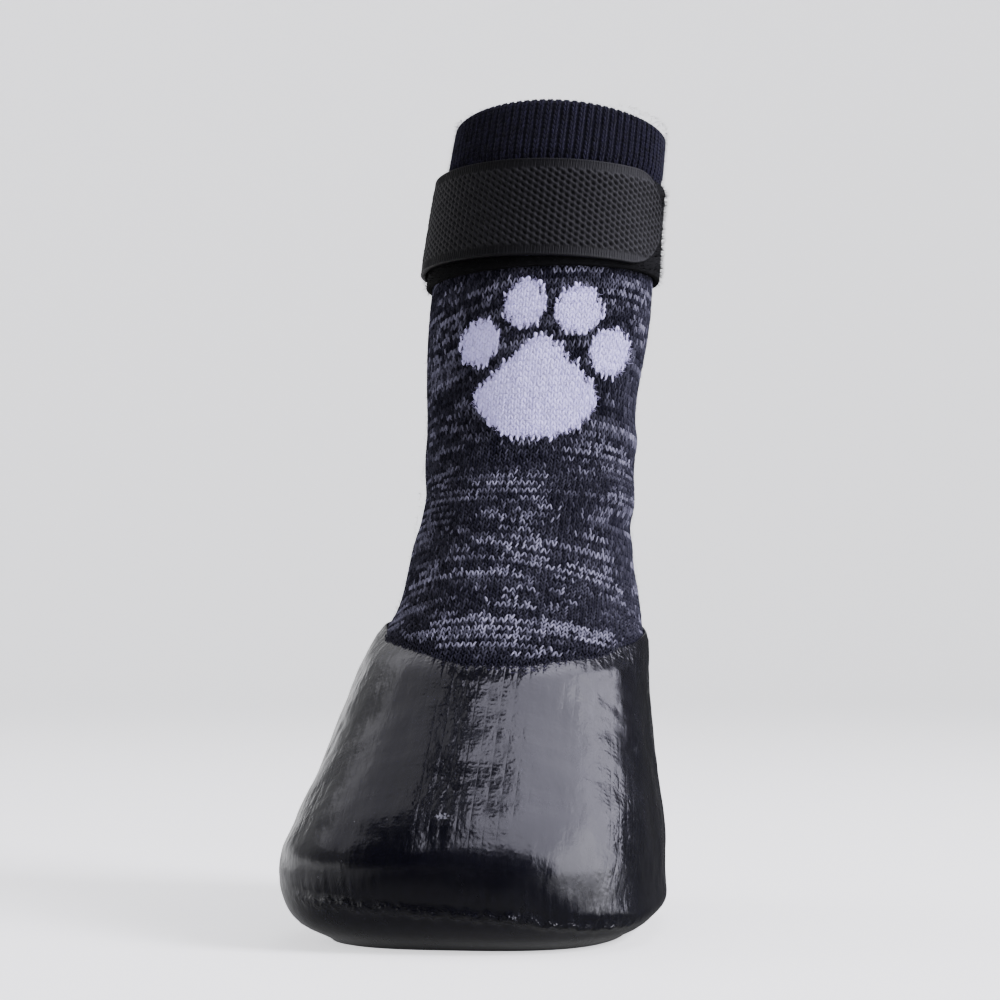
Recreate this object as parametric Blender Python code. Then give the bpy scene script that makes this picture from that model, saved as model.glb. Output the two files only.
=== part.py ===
"""A dog sock with a dipped rubber foot and a hook-and-loop strap, standing empty on its sole.

The toe points along -Y, +X is the right-hand side seen from the front, and +Z is up. The origin lies on the
sole's flat face, under the leg. Sizes and tables are in millimetres, and each vertex is made in metres.
"""

import math
from collections import namedtuple

import bmesh
import bpy
from mathutils import Vector

MM = 0.001
FULL_TURN = 2 * math.pi

# Driving dimensions.
KNIT_WALL = 1.6
CUFF_WALL = 2.0
CUFF_BULGE = 0.5
RUBBER_SIDE = 0.8
RUBBER_SOLE = 1.5
GAP = 0.3
DIP_LINE = 57.0
CUFF_SEAM = 146.0
COLLAR = 166.5
SEAM_HEIGHT = 8.2
SEAM_RIDGE = 0.9
TAPE_WIDTH = 20.0
TAPE_EDGE = 0.4
LOOP_TAPE = 1.4
HOOK_TAPE = 1.2
LOOP_TAPE_MIDDLE = 141.3
LOOP_TAPE_SKEW = 1.1
HOOK_TAPE_MIDDLE = 143.0
STRAP_START = math.radians(-178)
STRAP_TIP = math.radians(75)
TIP_LENGTH = math.radians(24)
SEGMENTS = 48
UNDERSIDE = RUBBER_SOLE + GAP
FOOT_ROWS = [UNDERSIDE, 3.0, 5.5, 9.0, 13.0, 18.0, 24.0, 31.0, 39.0, 48.0, DIP_LINE]
LEG_ROWS = [64.0, 72.0, 81.0, 92.0, 102.0, 114.0, 126.0, 136.0, CUFF_SEAM]

# The sock's outside, section by section from the underside to the collar. Toe, heel and widest are places
# along Y, fullness is 2 for an ellipse and more for a squarer end, sway moves the section along X, tilt
# lifts its heel end and roll its +X side, in millimetres for each millimetre.
Section = namedtuple(
    "Section",
    "height toe heel half_width widest toe_fullness heel_fullness sway tilt roll",
)
SECTIONS = (
    Section(UNDERSIDE, -87.0, 12.0, 26.5, -52.0, 2.90, 2.4, 0.0, 0.00, 0.00),
    Section(4.5, -93.0, 18.0, 31.2, -55.0, 3.00, 2.4, -0.2, 0.00, -0.03),
    Section(9.0, -97.5, 22.0, 34.0, -57.0, 3.00, 2.4, -0.7, 0.00, -0.07),
    Section(16.0, -99.0, 24.0, 33.5, -56.0, 2.90, 2.4, -1.0, 0.01, -0.03),
    Section(23.0, -96.0, 25.0, 32.3, -54.0, 2.60, 2.3, -0.7, 0.02, 0.00),
    Section(31.0, -90.0, 25.0, 30.6, -49.0, 2.40, 2.2, -0.3, 0.04, 0.00),
    Section(45.0, -78.5, 24.5, 28.2, -38.0, 2.20, 2.1, 0.0, 0.08, 0.00),
    Section(55.0, -70.5, 24.0, 26.6, -28.0, 2.10, 2.0, 0.7, 0.10, 0.00),
    Section(64.0, -61.0, 23.5, 24.2, -20.0, 1.90, 2.0, 1.4, 0.09, 0.00),
    Section(80.0, -42.5, 22.0, 22.4, -10.0, 1.85, 2.0, 1.0, 0.06, 0.00),
    Section(100.0, -24.5, 20.5, 22.1, -2.0, 2.00, 2.0, 0.9, 0.00, 0.00),
    Section(125.0, -22.5, 24.0, 23.5, 1.0, 2.00, 2.0, 2.6, -0.04, 0.00),
    Section(145.0, -19.0, 26.0, 22.8, 4.0, 2.00, 2.0, 4.2, -0.07, 0.00),
    Section(168.0, -15.0, 29.5, 22.0, 8.0, 2.00, 2.0, 6.6, -0.10, 0.00),
)
HEIGHTS = [row.height for row in SECTIONS]

Finish = namedtuple("Finish", "colour roughness")
MARLED_YARN = Finish((0.035, 0.035, 0.055), 0.90)
NAVY_YARN = Finish((0.008, 0.008, 0.022), 0.90)
DIPPED_RUBBER = Finish((0.006, 0.006, 0.010), 0.30)
LOOP_PILE = Finish((0.004, 0.004, 0.005), 1.00)
WOVEN_TAPE = Finish((0.018, 0.018, 0.019), 0.70)


def clear_scene():
    for old in list(bpy.data.objects):
        bpy.data.objects.remove(old, do_unlink=True)


def row_slopes(values):
    """Slope of a column at each row, 0 where it turns back, so that nothing bulges between two rows."""
    steps = [after - before for before, after in zip(HEIGHTS, HEIGHTS[1:])]
    rises = [(after - before) / step for before, after, step in zip(values, values[1:], steps)]
    slopes = [rises[0]]
    for below, above, step, next_step in zip(rises, rises[1:], steps, steps[1:]):
        if below * above <= 0:
            slopes.append(0.0)
            continue
        near = 2 * next_step + step
        far = next_step + 2 * step
        slopes.append((near + far) / (near / below + far / above))
    slopes.append(rises[-1])
    return slopes


SLOPES = [row_slopes(column) for column in zip(*SECTIONS)]


def section_at(height):
    """The section at a height, on smooth curves through the table's rows."""
    low = sum(base <= height for base in HEIGHTS[1:-1])
    step = HEIGHTS[low + 1] - HEIGHTS[low]
    part = (height - HEIGHTS[low]) / step
    ease = part * part * (3 - 2 * part)
    leave = part * (1 - part) ** 2 * step
    arrive = part * part * (part - 1) * step
    return Section(
        *(
            (1 - ease) * below + ease * above + leave * slopes[low] + arrive * slopes[low + 1]
            for below, above, slopes in zip(SECTIONS[low], SECTIONS[low + 1], SLOPES)
        )
    )


def sock_point(height, angle):
    """A point on the sock's outside. Angle 0 is the toe's side and a quarter turn is the +X side."""
    row = section_at(height)
    across = math.sin(angle)
    along = math.cos(angle)
    fullness = row.toe_fullness if along > 0 else row.heel_fullness
    end = row.toe if along > 0 else row.heel
    x = row.half_width * math.copysign(abs(across) ** (2 / fullness), across)
    y = row.widest + (end - row.widest) * abs(along) ** (2 / fullness)
    lift = row.tilt * (y - (row.toe + row.heel) / 2) + row.roll * x
    return Vector((x + row.sway, y, height + lift))


def outward(height, angle):
    """The direction square to the sock's outside, straight down on the flat underside."""
    if height <= UNDERSIDE:
        return Vector((0, 0, -1))
    around = sock_point(height, angle + 0.02) - sock_point(height, angle - 0.02)
    up = sock_point(height + 0.5, angle) - sock_point(height - 0.5, angle)
    return around.cross(up).normalized()


def skin_point(height, angle, offset):
    """A point at a distance from the sock's outside, inward if the distance is negative."""
    return (sock_point(height, angle) + offset * outward(height, angle)) * MM


def skin_ring(bm, height, offset):
    """One ring of vertices. The offset is a number, or a function of the angle."""
    ring = []
    for step in range(SEGMENTS):
        angle = FULL_TURN * step / SEGMENTS
        distance = offset(angle) if callable(offset) else offset
        ring.append(bm.verts.new(skin_point(height, angle, distance)))
    return ring


def join_rings(bm, rings, wrap):
    """Faces between each ring and the next, and from the last to the first where wrap is set."""
    following = rings[1:] + rings[:1] if wrap else rings[1:]
    for ring, after in zip(rings, following):
        for k in range(len(ring)):
            n = (k + 1) % len(ring)
            bm.faces.new((ring[k], ring[n], after[n], after[k]))


def cap_ends(bm, rings):
    """Closes the first ring and the last one."""
    bm.faces.new(rings[0][::-1])
    bm.faces.new(rings[-1])


def make_material(name, finish):
    material = bpy.data.materials.new(name)
    material.use_nodes = True
    shader = material.node_tree.nodes["Principled BSDF"]
    shader.inputs["Base Color"].default_value = (*finish.colour, 1.0)
    shader.inputs["Roughness"].default_value = finish.roughness
    shader.inputs["Metallic"].default_value = 0.0
    return material


def add_part(name, bm, finish):
    """An object with the bmesh's shape, shaded smooth, and its own material."""
    mesh = bpy.data.meshes.new(name)
    bm.to_mesh(mesh)
    bm.free()
    mesh.shade_smooth()
    mesh.set_sharp_from_angle(angle=math.radians(50))
    mesh.materials.append(make_material(name, finish))
    part = bpy.data.objects.new(name, mesh)
    bpy.context.scene.collection.objects.link(part)
    return part


def seam_coat(angle):
    """Rubber over the toe seam: a ridge across the toe that dies out round the corners."""
    fade = min(max((math.cos(angle) - 0.2) / 0.35, 0.0), 1.0)
    return GAP + RUBBER_SIDE + SEAM_RIDGE * fade * fade * (3 - 2 * fade)


def knit_upper():
    """Leg and foot, one knitted tube with a closed toe, heel and underside, open at the top."""
    heights = FOOT_ROWS + LEG_ROWS
    bm = bmesh.new()
    rings = [skin_ring(bm, height, 0.0) for height in heights]
    rings += [skin_ring(bm, height, -KNIT_WALL) for height in reversed(heights)]
    join_rings(bm, rings, wrap=False)
    cap_ends(bm, rings)
    add_part("knit_upper", bm, MARLED_YARN)


def rib_cuff():
    """Ribbed cuff above the leg, a ring of the same section with a rounded top edge."""
    outside = [
        (CUFF_SEAM + GAP, 0.0),
        (153.0, 0.0),
        (156.0, CUFF_BULGE),
        (161.0, CUFF_BULGE),
        (COLLAR - 1.2, CUFF_BULGE * 0.8),
        (COLLAR - 0.2, -0.4),
    ]
    inside = [
        (COLLAR, 0.2 - CUFF_WALL / 2),
        (COLLAR - 0.4, 0.4 - CUFF_WALL),
        (161.0, -CUFF_WALL),
        (153.0, -CUFF_WALL),
        (CUFF_SEAM + GAP, -CUFF_WALL),
    ]
    bm = bmesh.new()
    rings = [skin_ring(bm, height, offset) for height, offset in outside + inside]
    join_rings(bm, rings, wrap=True)
    add_part("rib_cuff", bm, NAVY_YARN)


def rubber_foot():
    """Dipped rubber over toe, heel, sides and underside, thicker underneath, open above the dip line."""
    coat = GAP + RUBBER_SIDE
    outside = [
        (UNDERSIDE, GAP + RUBBER_SOLE),
        (3.0, coat + 0.3),
        (5.5, coat),
        (SEAM_HEIGHT - 1.1, coat),
        (SEAM_HEIGHT, seam_coat),
        (SEAM_HEIGHT + 1.2, coat),
    ]
    outside += [(height, coat) for height in FOOT_ROWS if SEAM_HEIGHT + 2.0 < height < DIP_LINE]
    outside += [(DIP_LINE - 1.0, coat), (DIP_LINE, coat - 0.3)]
    bm = bmesh.new()
    rings = [skin_ring(bm, height, offset) for height, offset in outside]
    rings += [skin_ring(bm, height, GAP) for height in reversed(FOOT_ROWS)]
    join_rings(bm, rings, wrap=False)
    cap_ends(bm, rings)
    add_part("rubber_foot", bm, DIPPED_RUBBER)


def tape_outline(half_width, seat, thickness):
    """A tape's cross-section as (height from its middle, offset from the sock), its outer edges rounded."""
    outer = seat + thickness
    edge = min(TAPE_EDGE, half_width / 2)
    return [
        (-half_width, seat),
        (-half_width, outer - edge),
        (-half_width + edge, outer),
        (0.0, outer),
        (half_width - edge, outer),
        (half_width, outer - edge),
        (half_width, seat),
        (0.0, seat),
    ]


def loop_tape_middle(angle):
    """Height of the loop tape's middle, which climbs towards the +X side."""
    return LOOP_TAPE_MIDDLE + LOOP_TAPE_SKEW * math.sin(angle)


def tape_station(bm, angle, middle, outline):
    """One cross-section of a tape."""
    return [bm.verts.new(skin_point(middle + rise, angle, offset)) for rise, offset in outline]


def loop_strap():
    """Loop tape sewn round the top of the leg, a closed band over the leg and the foot of the cuff."""
    outline = tape_outline(TAPE_WIDTH / 2, GAP, LOOP_TAPE)
    bm = bmesh.new()
    stations = []
    for step in range(SEGMENTS):
        angle = FULL_TURN * step / SEGMENTS
        stations.append(tape_station(bm, angle, loop_tape_middle(angle), outline))
    join_rings(bm, stations[::-1], wrap=True)
    add_part("loop_strap", bm, LOOP_PILE)


def hook_strap():
    """Hook tape over the loop tape, from the middle of the back past the -X side to a round tip."""
    seat = GAP + LOOP_TAPE + GAP
    body_steps = 34
    tip_steps = 7
    body_end = STRAP_TIP - TIP_LENGTH
    stops = [(STRAP_START + (body_end - STRAP_START) * k / body_steps, 1.0) for k in range(body_steps + 1)]
    for k in range(1, tip_steps + 1):
        reach = math.sin(0.47 * math.pi * k / tip_steps)
        stops.append((body_end + TIP_LENGTH * reach, math.sqrt(1 - reach * reach)))
    bm = bmesh.new()
    stations = []
    for angle, share in stops:
        outline = tape_outline(share * TAPE_WIDTH / 2, seat, HOOK_TAPE)
        stations.append(tape_station(bm, angle, HOOK_TAPE_MIDDLE, outline))
    stations.reverse()
    join_rings(bm, stations, wrap=False)
    cap_ends(bm, stations)
    add_part("hook_strap", bm, WOVEN_TAPE)


def main():
    clear_scene()
    knit_upper()
    rib_cuff()
    rubber_foot()
    loop_strap()
    hook_strap()


if __name__ == "__main__":
    main()
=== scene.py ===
"""Dresses the dog sock: marled knit with a paw motif, a ribbed cuff, a dipped rubber foot and a strap.

The toe points along -Y, +X is the right-hand side seen from the front and +Z is up, as in the frame. Sizes
are in millimetres unless a name says otherwise, and every mesh is written in metres.
"""

import logging
import math
from dataclasses import astuple, dataclass, field, replace
from enum import Enum

import bmesh
import bpy
import numpy as np
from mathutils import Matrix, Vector


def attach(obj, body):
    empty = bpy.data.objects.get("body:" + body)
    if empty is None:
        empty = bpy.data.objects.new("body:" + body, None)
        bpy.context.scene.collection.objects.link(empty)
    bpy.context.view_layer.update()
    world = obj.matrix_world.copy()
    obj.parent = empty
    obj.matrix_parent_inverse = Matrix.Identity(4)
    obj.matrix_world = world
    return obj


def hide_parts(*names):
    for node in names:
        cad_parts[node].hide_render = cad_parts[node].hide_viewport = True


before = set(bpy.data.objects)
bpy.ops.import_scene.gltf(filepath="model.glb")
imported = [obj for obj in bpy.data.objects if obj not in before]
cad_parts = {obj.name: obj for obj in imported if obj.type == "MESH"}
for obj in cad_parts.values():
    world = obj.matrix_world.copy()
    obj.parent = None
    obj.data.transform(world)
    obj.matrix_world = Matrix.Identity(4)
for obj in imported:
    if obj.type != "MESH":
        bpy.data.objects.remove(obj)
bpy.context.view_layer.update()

LOG = logging.getLogger("dog_sock")
MM = 0.001
FULL_TURN = 2 * math.pi
BODY = "root"

Array = np.ndarray
Draw = np.random.Generator
Form = bmesh.types.BMesh
Material = bpy.types.Material
Mesh = bpy.types.Mesh
Socket = bpy.types.NodeSocket
Colour = tuple[float, float, float]
Point = tuple[float, float, float]
Pair = tuple[float, float]


# ---------------- the last


@dataclass(frozen=True)
class Section:
    """One level of the last. Toe, heel and widest are places along Y, fullness is 2 for an ellipse and more
    for a squarer end, sway moves the section along X, tilt lifts its heel end and roll its +X side."""

    height: float
    toe: float
    heel: float
    half_width: float
    widest: float
    toe_fullness: float
    heel_fullness: float
    sway: float
    tilt: float
    roll: float


SECTIONS = (
    Section(1.8, -87.0, 12.0, 26.5, -52.0, 2.90, 2.4, 0.0, 0.00, 0.00),
    Section(4.5, -93.0, 18.0, 31.2, -55.0, 3.00, 2.4, -0.2, 0.00, -0.03),
    Section(9.0, -97.5, 22.0, 34.0, -57.0, 3.00, 2.4, -0.7, 0.00, -0.07),
    Section(16.0, -99.0, 24.0, 33.5, -56.0, 2.90, 2.4, -1.0, 0.01, -0.03),
    Section(23.0, -96.0, 25.0, 32.3, -54.0, 2.60, 2.3, -0.7, 0.02, 0.00),
    Section(31.0, -90.0, 25.0, 30.6, -49.0, 2.40, 2.2, -0.3, 0.04, 0.00),
    Section(45.0, -78.5, 24.5, 28.2, -38.0, 2.20, 2.1, 0.0, 0.08, 0.00),
    Section(55.0, -70.5, 24.0, 26.6, -28.0, 2.10, 2.0, 0.7, 0.10, 0.00),
    Section(64.0, -61.0, 23.5, 24.2, -20.0, 1.90, 2.0, 1.4, 0.09, 0.00),
    Section(80.0, -42.5, 22.0, 22.4, -10.0, 1.85, 2.0, 1.0, 0.06, 0.00),
    Section(100.0, -24.5, 20.5, 22.1, -2.0, 2.00, 2.0, 0.9, 0.00, 0.00),
    Section(125.0, -22.5, 24.0, 23.5, 1.0, 2.00, 2.0, 2.6, -0.04, 0.00),
    Section(145.0, -19.0, 26.0, 22.8, 4.0, 2.00, 2.0, 4.2, -0.07, 0.00),
    Section(168.0, -15.0, 29.5, 22.0, 8.0, 2.00, 2.0, 6.6, -0.10, 0.00),
)
UNDERSIDE = SECTIONS[0].height


@dataclass(frozen=True)
class Crease:
    """A soft trough, or a ridge where its depth is negative, along a bowed line on the last.

    Start, bow and end are (height, degrees round from the toe side towards +X).
    """

    start: Pair
    bow: Pair
    end: Pair
    width: float
    depth: float

    def line(self, points: int = 9) -> tuple[Array, Array, Array]:
        """The bowed line as heights, angles and how far along it each point is, from 0 to 1."""
        along = np.linspace(0.0, 1.0, points)
        start, bow, end = (np.array(place) for place in (self.start, self.bow, self.end))
        shares = np.stack([(1 - along) ** 2, 2 * along * (1 - along), along**2])
        height, degrees = np.stack([start, bow, end], axis=1) @ shares
        return height, np.radians(degrees), along


class Last:
    """The shape that every layer of the sock is drawn over, the same as that of the solids."""

    def __init__(self, sections: tuple[Section, ...]) -> None:
        """Reads the sections and works out how each column slopes at each row."""
        self.table = np.array([astuple(section) for section in sections])
        self.heights = self.table[:, 0]
        self.slopes = self._row_slopes()
        self.spacing = EvenSpacing(self)

    def _row_slopes(self) -> Array:
        """Slope of each column at each row, 0 where it turns back, so that nothing bulges between rows."""
        steps = np.diff(self.heights)[:, None]
        rises = np.diff(self.table, axis=0) / steps
        below, above = rises[:-1], rises[1:]
        near = 2 * steps[1:] + steps[:-1]
        far = steps[1:] + 2 * steps[:-1]
        with np.errstate(divide="ignore", invalid="ignore"):
            smooth = (near + far) / (near / below + far / above)
        turning = below * above <= 0
        return np.vstack([rises[:1], np.where(turning, 0.0, smooth), rises[-1:]])

    def section(self, height: Array) -> Array:
        """The section's ten columns at each height, on smooth curves through the rows."""
        low = np.searchsorted(self.heights[1:-1], height, side="right")
        step = self.heights[low + 1] - self.heights[low]
        part = (height - self.heights[low]) / step
        ease = part * part * (3 - 2 * part)
        leave = part * (1 - part) ** 2 * step
        arrive = part * part * (part - 1) * step
        weights = (1 - ease, ease, leave, arrive)
        rows = (self.table[low], self.table[low + 1], self.slopes[low], self.slopes[low + 1])
        return np.moveaxis(sum(w[..., None] * row for w, row in zip(weights, rows)), -1, 0)

    def surface(self, height: Array, angle: Array) -> Array:
        """Points on the outside of the knit. Angle 0 is the toe's side and a quarter turn is +X."""
        height, angle = np.broadcast_arrays(np.asarray(height, float), np.asarray(angle, float))
        _, toe, heel, half_width, widest, toe_full, heel_full, sway, tilt, roll = self.section(height)
        across, along = np.sin(angle), np.cos(angle)
        fullness = np.where(along > 0, toe_full, heel_full)
        end = np.where(along > 0, toe, heel)
        x = half_width * np.sign(across) * np.abs(across) ** (2 / fullness)
        y = widest + (end - widest) * np.abs(along) ** (2 / fullness)
        lift = tilt * (y - (toe + heel) / 2) + roll * x
        return np.stack([x + sway, y, height + lift], axis=-1)

    def outward(self, height: Array, angle: Array) -> Array:
        """Unit vectors square to the outside of the knit."""
        around = self.surface(height, angle + 0.02) - self.surface(height, angle - 0.02)
        up = self.surface(height + 0.5, angle) - self.surface(height - 0.5, angle)
        square = np.cross(around, up)
        return square / np.linalg.norm(square, axis=-1, keepdims=True)

    def skin(self, height: Array, angle: Array, offset: Array | float) -> Array:
        """Points at a distance from the outside of the knit, inward where it is negative."""
        height, angle = np.broadcast_arrays(np.asarray(height, float), np.asarray(angle, float))
        offset = np.broadcast_to(offset, height.shape)
        return self.surface(height, angle) + offset[..., None] * self.outward(height, angle)

    def hollows(self, creases: tuple[Crease, ...], points: Array) -> Array:
        """How far creases lower the surface at some points.

        Args:
            creases: The troughs and ridges.
            points: Places on the surface, in millimetres, as an array of shape (count, 3).

        Returns:
            The depth at each point.
        """
        depth = np.zeros(len(points))
        for crease in creases:
            height, angle, along = crease.line()
            line = self.surface(height, angle)
            reach = 3 * crease.width
            low, high = line.min(axis=0) - reach, line.max(axis=0) + reach
            near = np.flatnonzero(((points > low) & (points < high)).all(axis=1))
            best = np.full(len(near), np.inf)
            place = np.zeros(len(near))
            for start, end, at, after in zip(line, line[1:], along, along[1:]):
                run = end - start
                share = np.clip((points[near] - start) @ run / (run @ run), 0.0, 1.0)
                gap = np.linalg.norm(points[near] - start - share[:, None] * run, axis=1)
                closer = gap < best
                best[closer] = gap[closer]
                place[closer] = (at + share * (after - at))[closer]
            fade = np.sin(math.pi * np.clip(0.08 + 0.84 * place, 0.0, 1.0))
            depth[near] += crease.depth * fade * bell(best, 0.0, crease.width)
        return depth


class EvenSpacing:
    """Turns a share of the way round a level into the last's own angle, so that columns stand evenly."""

    ANGLES = 1440
    SHARES = 720

    def __init__(self, last: Last) -> None:
        """Measures the way round the last at every millimetre of height."""
        self.heights = np.arange(UNDERSIDE, last.heights[-1] + 2.0, 1.0)
        angles = np.linspace(0.0, FULL_TURN, self.ANGLES + 1)
        rings = last.surface(self.heights[:, None], angles[None, :])
        walked = np.stack([walk(ring) for ring in rings])
        self.lengths = walked[:, -1]
        shares = np.linspace(0.0, 1.0, self.SHARES + 1)
        self.table = np.stack([np.interp(shares * way[-1], way, angles) for way in walked])

    def angle(self, height: Array, share: Array) -> Array:
        """The last's angle at each height and share of the way round."""
        return grid_value(self.table, height - UNDERSIDE, np.mod(share, 1.0) * self.SHARES)

    def length(self, height: float) -> float:
        """The way round at a height."""
        return float(np.interp(height, self.heights, self.lengths))


def grid_value(table: Array, row: Array, column: Array) -> Array:
    """Values between the entries of a table, straight from one to the next both ways."""
    row = np.clip(row, 0.0, table.shape[0] - 1.001)
    column = np.clip(column, 0.0, table.shape[1] - 1.001)
    r, c = row.astype(int), column.astype(int)
    down, over = row - r, column - c
    top = table[r, c] * (1 - over) + table[r, c + 1] * over
    bottom = table[r + 1, c] * (1 - over) + table[r + 1, c + 1] * over
    return top * (1 - down) + bottom * down


def eased(value: Array | float, low: float, high: float) -> Array:
    """0 below low, 1 above high and a smooth step between. With high under low it falls."""
    share = np.clip((np.asarray(value, float) - low) / (high - low), 0.0, 1.0)
    return share * share * (3 - 2 * share)


def bell(value: Array, middle: float, width: float) -> Array:
    """A smooth hump, 1 at its middle and almost 0 two widths away."""
    return np.exp(-(((value - middle) / width) ** 2))


def walk(points: Array) -> Array:
    """The way walked along a line to each of its points."""
    return np.concatenate([[0.0], np.cumsum(np.linalg.norm(np.diff(points, axis=0), axis=1))])


class Unevenness:
    """A smooth seeded waviness over space, from a handful of waves in random directions."""

    def __init__(self, seed: int, wavelength: float, waves: int = 9) -> None:
        """Draws the waves' directions and phases."""
        draw = np.random.default_rng(seed)
        direction = draw.normal(size=(3, waves))
        direction /= np.linalg.norm(direction, axis=0)
        self.pull = direction * FULL_TURN / (wavelength * draw.uniform(0.7, 1.6, waves))
        self.phase = draw.uniform(0.0, FULL_TURN, waves)

    def at(self, points: Array) -> Array:
        """The waviness at some points, about from -1 to 1."""
        waves = np.sin(points @ self.pull + self.phase)
        return waves.sum(axis=-1) / math.sqrt(len(self.phase))


# ---------------- meshes


def lathe(line: list[Point], steps: int, closed: bool, merge: float) -> Form:
    """A line of points turned about Z into a shell, its seam and poles merged and its faces outwards.

    Args:
        line: The points, all on one side of the axis.
        steps: The number of columns round the shell.
        closed: Whether the last point is joined to the first.
        merge: How near to each other two vertices become one.

    Returns:
        The shell's bmesh.
    """
    bm = bmesh.new()
    verts = [bm.verts.new(point) for point in line]
    pairs = list(zip(verts, verts[1:])) + ([(verts[-1], verts[0])] if closed else [])
    edges = [bm.edges.new(pair) for pair in pairs]
    around = {"cent": (0.0, 0.0, 0.0), "axis": (0.0, 0.0, 1.0), "angle": FULL_TURN}
    bmesh.ops.spin(bm, geom=verts + edges, steps=steps, use_merge=True, **around)
    bmesh.ops.remove_doubles(bm, verts=bm.verts, dist=merge)
    bmesh.ops.recalc_face_normals(bm, faces=bm.faces)
    return bm


def as_mesh(bm: Form, name: str) -> Mesh:
    """A finished bmesh as a mesh, and the bmesh freed."""
    mesh = bpy.data.meshes.new(name)
    bm.to_mesh(mesh)
    bm.free()
    return mesh


def mesh_object(name: str, mesh: Mesh) -> bpy.types.Object:
    """An object at the origin for a finished mesh, shaded smooth."""
    mesh.shade_smooth()
    piece = bpy.data.objects.new(name, mesh)
    bpy.context.scene.collection.objects.link(piece)
    return piece


def write_points(mesh: Mesh, points: Array) -> None:
    """Moves a mesh's vertices to points given in millimetres."""
    mesh.vertices.foreach_set("co", (points * MM).astype(np.float32).ravel())
    mesh.update()


def read_points(mesh: Mesh) -> Array:
    """A mesh's vertices as they stand, as an array of shape (count, 3)."""
    points = np.empty(len(mesh.vertices) * 3, np.float32)
    mesh.vertices.foreach_get("co", points)
    return points.reshape(-1, 3).astype(float)


def add_values(mesh: Mesh, name: str, values: Array) -> None:
    """Stores one number per vertex for the mesh's material."""
    layer = mesh.attributes.new(name, "FLOAT", "POINT")
    layer.data.foreach_set("value", np.asarray(values, np.float32))


def add_map(mesh: Mesh, name: str, places: Array) -> None:
    """Stores a map from one pair of numbers per vertex."""
    corners = np.empty(len(mesh.loops), np.int32)
    mesh.loops.foreach_get("vertex_index", corners)
    layer = mesh.uv_layers.new(name=name, do_init=False)
    layer.data.foreach_set("uv", np.asarray(places, np.float32)[corners].ravel())


@dataclass(frozen=True)
class Dressing:
    """What a finished piece is joined to: its finish, its slot (not used) and the solid it stands for."""

    material: Material
    slot: str | None = None
    replaces: str | None = None

    def put_on(self, name: str, mesh: Mesh) -> None:
        """Makes a piece of a mesh, gives it its finish and its place in the frame, and reports it."""
        piece = mesh_object(name, mesh)
        mesh.materials.append(self.material)
        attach(piece, BODY)
        if self.replaces:
            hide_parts(self.replaces)
        LOG.info("%s: %d triangles", name, sum(len(face.vertices) - 2 for face in mesh.polygons))


class Spindle:
    """A straight round former: a profile is turned on it as a closed shell, then drawn over the last.

    On the former a vertex's height is its level on the last, and how far it stands off the former's face is
    its offset from the knit. Below the underside's level it lies on the flat sole, as far in from the
    sole's edge as it is in from the former's face.
    """

    FACE = 200.0

    def __init__(self, last: Last) -> None:
        """Takes the last that the shells are drawn over."""
        self.last = last

    def turn(self, profile: list[Pair], columns: int, closed: bool) -> Mesh:
        """Turns a profile into a shell.

        Args:
            profile: Its points as (height, offset) pairs, from the outside's foot over the top and back.
            columns: The number of columns round the shell.
            closed: Whether the last point is joined to the first.

        Returns:
            The turned mesh, still on the former.
        """
        line = [(0.0, -(self.FACE + offset), height) for height, offset in profile]
        return as_mesh(lathe(line, columns, closed, merge=1e-4), "shell")

    def places(self, mesh: Mesh) -> tuple[Array, Array, Array]:
        """Each vertex's height, share of the way round and offset, read off the former."""
        x, y, height = read_points(mesh).T
        share = np.mod(np.arctan2(x, -y) / FULL_TURN, 1.0)
        return height, share, np.hypot(x, y) - self.FACE

    def draw(self, height: Array, share: Array, offset: Array) -> Array:
        """Points drawn over the last, with the sole's flat faces laid in place.

        Args:
            height: Each point's level on the last.
            share: Its share of the way round.
            offset: How far it stands off the knit.

        Returns:
            The points, in millimetres.
        """
        sole = height < UNDERSIDE
        level = np.maximum(height, UNDERSIDE + 0.02)
        angle = self.last.spacing.angle(level, share)
        points = self.last.skin(level, angle, np.where(sole, 0.0, offset))
        edge = self.last.surface(np.full(sole.sum(), UNDERSIDE), angle[sole])
        middle = np.stack([np.zeros(len(edge)), np.clip(edge[:, 1], -68.0, -6.0), height[sole]], axis=1)
        edge[:, 2] = height[sole]
        inward = np.clip(1 + offset[sole] / self.FACE, 0.0, 1.0)
        points[sole] = middle + (edge - middle) * inward[:, None]
        return points


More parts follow.
